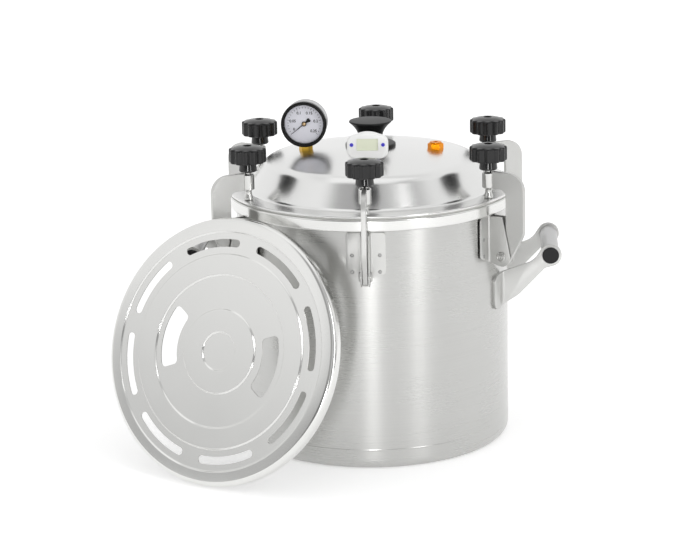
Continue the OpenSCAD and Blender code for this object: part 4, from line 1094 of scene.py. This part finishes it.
handleParts = (("sides", withMirror(handlePlate(handle)), sheetSteel, "zinc_steel", "plates"),
               ("tube", gripTube(grip), tubeSteel, "satin_steel", "grip"),
               ("caps", gripPlugs(grip), plugRubber, "black_plastic", "plugs"))
for side, turn in (("right", 0), ("left", 180)):
    for part, mesh, finish, slot, node in handleParts:
        addPiece(f"{side}_handle_{part}", moved(mesh, turnZ(turn)), "vessel", finish, slot, f"{side}_handle_{node}")
print("stage: handles")

# Perforated plate: pressed rings are steps between two levels, the edge turns back into a lip
plate = {"r": 142.0, "thick": 1.0, "lip": 11.0, "lipRound": 0.3, "bend": 6.0, "step": 1.4, "slope": 1.3,
         "rings": (20.3, 44.6, 80.5, 102.9, 126.3), "ringRound": 0.7, "rimDrop": 1.3, "cutHigh": 6.0,
         "slot": {"ring": 114.7, "wide": 8.3, "span": 34.0, "corner": 4.1}, "slots": 8, "slotTurn": 104.5,
         "finger": {"ring": 63.9, "wide": 20.0, "span": 56.0, "corner": 5.0}, "fingers": 2, "fingerTurn": 83.0,
         "lean": 19.0, "facing": 241.0, "segments": 288}


def plateProfile(s):
    levels = [0 if k % 2 == 0 else s["step"] for k in range(len(s["rings"]) + 1)]

    def face(drop):
        corners = [(0, levels[0] - drop, 0)]
        for k, r in enumerate(s["rings"]):
            corners += [(r - s["slope"] / 2, levels[k] - drop, s["ringRound"]),
                        (r + s["slope"] / 2, levels[k + 1] - drop, s["ringRound"])]
        return corners

    # the rim falls off a little towards the lip
    edge = levels[-1] - s["rimDrop"]
    inside = s["r"] - s["thick"]
    outer = face(0) + [(s["r"], edge, s["bend"]), (s["r"], -s["lip"], s["lipRound"]),
                       (inside, -s["lip"], s["lipRound"]),
                       (inside, edge - s["thick"], s["bend"] - s["thick"])]
    return roundedLine(outer + face(s["thick"])[::-1], 5)


# outline of a slot that follows a ring, with rounded corners
def slotOutline(s):
    half, c = s["span"] / 2, s["corner"]
    low, high = s["ring"] - s["wide"] / 2, s["ring"] + s["wide"] / 2
    inA = half - math.degrees(math.asin(c / (low + c)))
    outA = half - math.degrees(math.asin(c / (high - c)))

    def corner(r, turn, start, end):
        t = math.radians(turn)
        return arcPoints((r * math.cos(t), r * math.sin(t)), c, start, end, 8)

    return (arcPoints((0, 0), high, -outA, outA, 24) + corner(high - c, outA, outA, half + 90)
            + corner(low + c, inA, half + 90, inA + 180) + arcPoints((0, 0), low, inA, -inA, 24)
            + corner(low + c, -inA, 180 - inA, 270 - half) + corner(high - c, -outA, 270 - half, 360 - outA))


# slots: one cutter is repeated round the plate and cut from it
slotTree, inlet = newTree("slotsRoundPlate", Cutter="Object", Turn="Float", Count="Int")
cutter = addNode(slotTree, "GeometryNodeObjectInfo", {"Object": inlet["Cutter"]}).outputs["Geometry"]
many = addNode(slotTree, "GeometryNodePoints", {"Count": inlet["Count"]})
index = addNode(slotTree, "GeometryNodeInputIndex").outputs[0]
pitch = calc(slotTree, "DIVIDE", 2 * math.pi, inlet["Count"])
turned = calc(slotTree, "MULTIPLY_ADD", index, pitch, inlet["Turn"])
around = addNode(slotTree, "GeometryNodeInstanceOnPoints", {"Points": many.outputs[0], "Instance": cutter,
                                                           "Rotation": asVector(slotTree, z=turned)})
cutters = addNode(slotTree, "GeometryNodeRealizeInstances", {0: around.outputs[0]})
holed = addNode(slotTree, "GeometryNodeMeshBoolean", {0: inlet["Geometry"], 1: cutters.outputs[0]},
                operation="DIFFERENCE", solver="MANIFOLD")
endTree(slotTree, holed.outputs[0], plateSteel)


def plateShape(s):
    def cutSlots(mesh, shape, turn, count):
        flat = Matrix.Rotation(math.radians(-90), 4, "X")
        work = bpy.data.objects.new("work", moved(flatPlate(slotOutline(shape), -s["cutHigh"], s["cutHigh"]), flat))
        scene.collection.objects.link(work)
        mesh = grown(slotTree, mesh, Cutter=work, Turn=math.radians(turn), Count=count)
        bpy.data.objects.remove(work)
        return mesh

    mesh = spun(plateProfile(s), s["segments"])
    mesh = cutSlots(mesh, s["slot"], s["slotTurn"], s["slots"])
    mesh = cutSlots(mesh, s["finger"], s["fingerTurn"], s["fingers"])
    mesh = finished(mesh, sharp=50)
    mesh.transform(turnZ(s["facing"]) @ Matrix.Rotation(math.radians(90 - s["lean"]), 4, "Y"))
    # the CAD node says where it leans
    points = [v.co for v in mesh.vertices]
    middle = Vector([(min(p[k] for p in points) + max(p[k] for p in points)) / 2 for k in range(3)])
    low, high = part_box("plate_edge")
    mesh.transform(Matrix.Translation((low + high) / 2 - middle))
    return mesh


addPiece("perforated_plate_pressed", plateShape(plate), "vessel", plateSteel, "polished_steel",
         "perforated_plate", "plate_edge")
print("stage: plate")

# Camera, fitted to the photograph: it looks a little down, from a little to the right
view = {"lens": 124.66, "sensor": 36.0, "place": (0.1211, -2.5973, 0.8598), "look": (-0.0545, 0.9657, -0.2539),
        "roll": -1.17}
cameraData = bpy.data.cameras.new("camera")
cameraData.lens, cameraData.sensor_width, cameraData.sensor_fit = view["lens"], view["sensor"], "HORIZONTAL"
camera = bpy.data.objects.new("camera", cameraData)
scene.collection.objects.link(camera)
ahead = Vector(view["look"]).normalized()
right = ahead.cross(Vector((0, 0, 1))).normalized()
up = right.cross(ahead)
roll = math.radians(view["roll"])
right, up = math.cos(roll) * right + math.sin(roll) * up, math.cos(roll) * up - math.sin(roll) * right
camera.matrix_world = Matrix.Translation(view["place"]) @ Matrix((right, up, -ahead)).transposed().to_4x4()
scene.camera = camera


# rays that show the background: the camera's, and those that metal and glass send on
def seenRays(tree):
    path = addNode(tree, "ShaderNodeLightPath").outputs
    return path["Is Camera Ray"], calc(tree, "MAXIMUM", path["Is Glossy Ray"], path["Is Transmission Ray"])


# Floor: pale and matt; seen rays find it a little brighter, so that it ends in white and keeps the shadow
ground = {"colour": "#f2f2f2", "rough": 0.9, "sheen": 0.1, "fade": (0.2, 1.6), "glow": (0.37, 0.46), "half": 12.0,
          "drop": 0.0001}
floorFinish, tree, shader, place = newMaterial("pale_studio_floor")
shader.inputs["Base Color"].default_value = linear(ground["colour"])
shader.inputs["Roughness"].default_value = ground["rough"]
shader.inputs["Specular IOR Level"].default_value = ground["sheen"]
shader.inputs["Emission Color"].default_value = linear("#ffffff")
seen = calc(tree, "MAXIMUM", *seenRays(tree))
glow = mapped(tree, vectorLength(tree, place), *ground["fade"], *ground["glow"])
tree.links.new(calc(tree, "MULTIPLY", seen, glow), shader.inputs["Emission Strength"])
bm = bmesh.new()
bmesh.ops.create_grid(bm, x_segments=8, y_segments=8, size=ground["half"])
floor = bpy.data.objects.new("floor", toMesh(bm))
floor.data.materials.append(floorFinish)
floor.location.z = -ground["drop"]
scene.collection.objects.link(floor)

# World: white to the camera and to metal that looks to the back, and a plain level as light; on the camera's
# side metal meets a room of pale walls and dark flags, as (degrees round from the right, strength)
room = {"light": 0.73, "ceiling": 0.72, "low": 0.52, "back": 1.0, "dimHigh": (0.18, 0.3), "behind": (-0.3, 0.0),
        "overhead": (0.8, 0.95),
        "walls": ((-180, 0.95), (-166, 1.0), (-145, 1.1), (-130, 0.42), (-108, 0.42), (-92, 0.7), (-72, 0.45),
                  (-52, 0.75), (-34, 0.3), (-16, 0.9), (0, 1.0))}
world = bpy.data.worlds.new("studio")
scene.world = world
world.use_nodes = True
tree = world.node_tree
tree.nodes.clear()
ray = addNode(tree, "ShaderNodeTexCoord").outputs["Generated"]
x, y, z = addNode(tree, "ShaderNodeSeparateXYZ", {0: ray}).outputs
share = mapped(tree, calc(tree, "ARCTAN2", y, x), -math.pi, 0.0)
walls = addNode(tree, "ShaderNodeValToRGB", {"Fac": share})
walls.color_ramp.interpolation = "EASE"
while len(walls.color_ramp.elements) < len(room["walls"]):
    walls.color_ramp.elements.new(0.5)
for stop, (degrees, grey) in zip(walls.color_ramp.elements, room["walls"]):
    stop.position = 1 + degrees / 180
    stop.color = (grey, grey, grey, 1)
dimmed = calc(tree, "MULTIPLY", walls.outputs[0], mapped(tree, z, *room["dimHigh"], room["low"], 1.0))
sides = mixed(tree, mapped(tree, y, *room["behind"]), dimmed, room["back"])
mirrored = mixed(tree, mapped(tree, z, *room["overhead"]), sides, room["ceiling"])
direct, bounced = seenRays(tree)
reflected = mixed(tree, bounced, room["light"], mirrored)
strength = mixed(tree, direct, reflected, 1.0)
sky = addNode(tree, "ShaderNodeBackground", {"Color": linear("#ffffff"), "Strength": strength})
addNode(tree, "ShaderNodeOutputWorld", {"Surface": sky.outputs[0]})

# Lamps: a low strip in front, a tall strip at the side and a wide soft box above, aimed at the pot
potMiddle = Vector((0, 0, 0.15))
lamps = {"stripNear": {"azimuth": -89.3, "far": 3.0, "high": 0.2, "size": (0.4, 0.5), "power": 8.0},
         "stripSide": {"azimuth": -50.3, "far": 3.0, "high": 1.25, "size": (0.5, 3.0), "power": 22.0},
         "softTop": {"azimuth": -110.0, "far": 0.2, "high": 3.0, "size": (2.4, 2.0), "power": 6.0}}
for name, s in lamps.items():
    lamp = bpy.data.lights.new(name, "AREA")
    lamp.shape, lamp.energy = "RECTANGLE", s["power"]
    lamp.size, lamp.size_y = s["size"]
    lampObject = bpy.data.objects.new(name, lamp)
    turn = math.radians(s["azimuth"])
    lampObject.location = (s["far"] * math.cos(turn), s["far"] * math.sin(turn), s["high"])
    aim = potMiddle - lampObject.location
    lampObject.rotation_euler = aim.to_track_quat("-Z", "Y").to_euler()
    scene.collection.objects.link(lampObject)

scene.view_settings.view_transform = "Standard"
print("stage: camera and light")
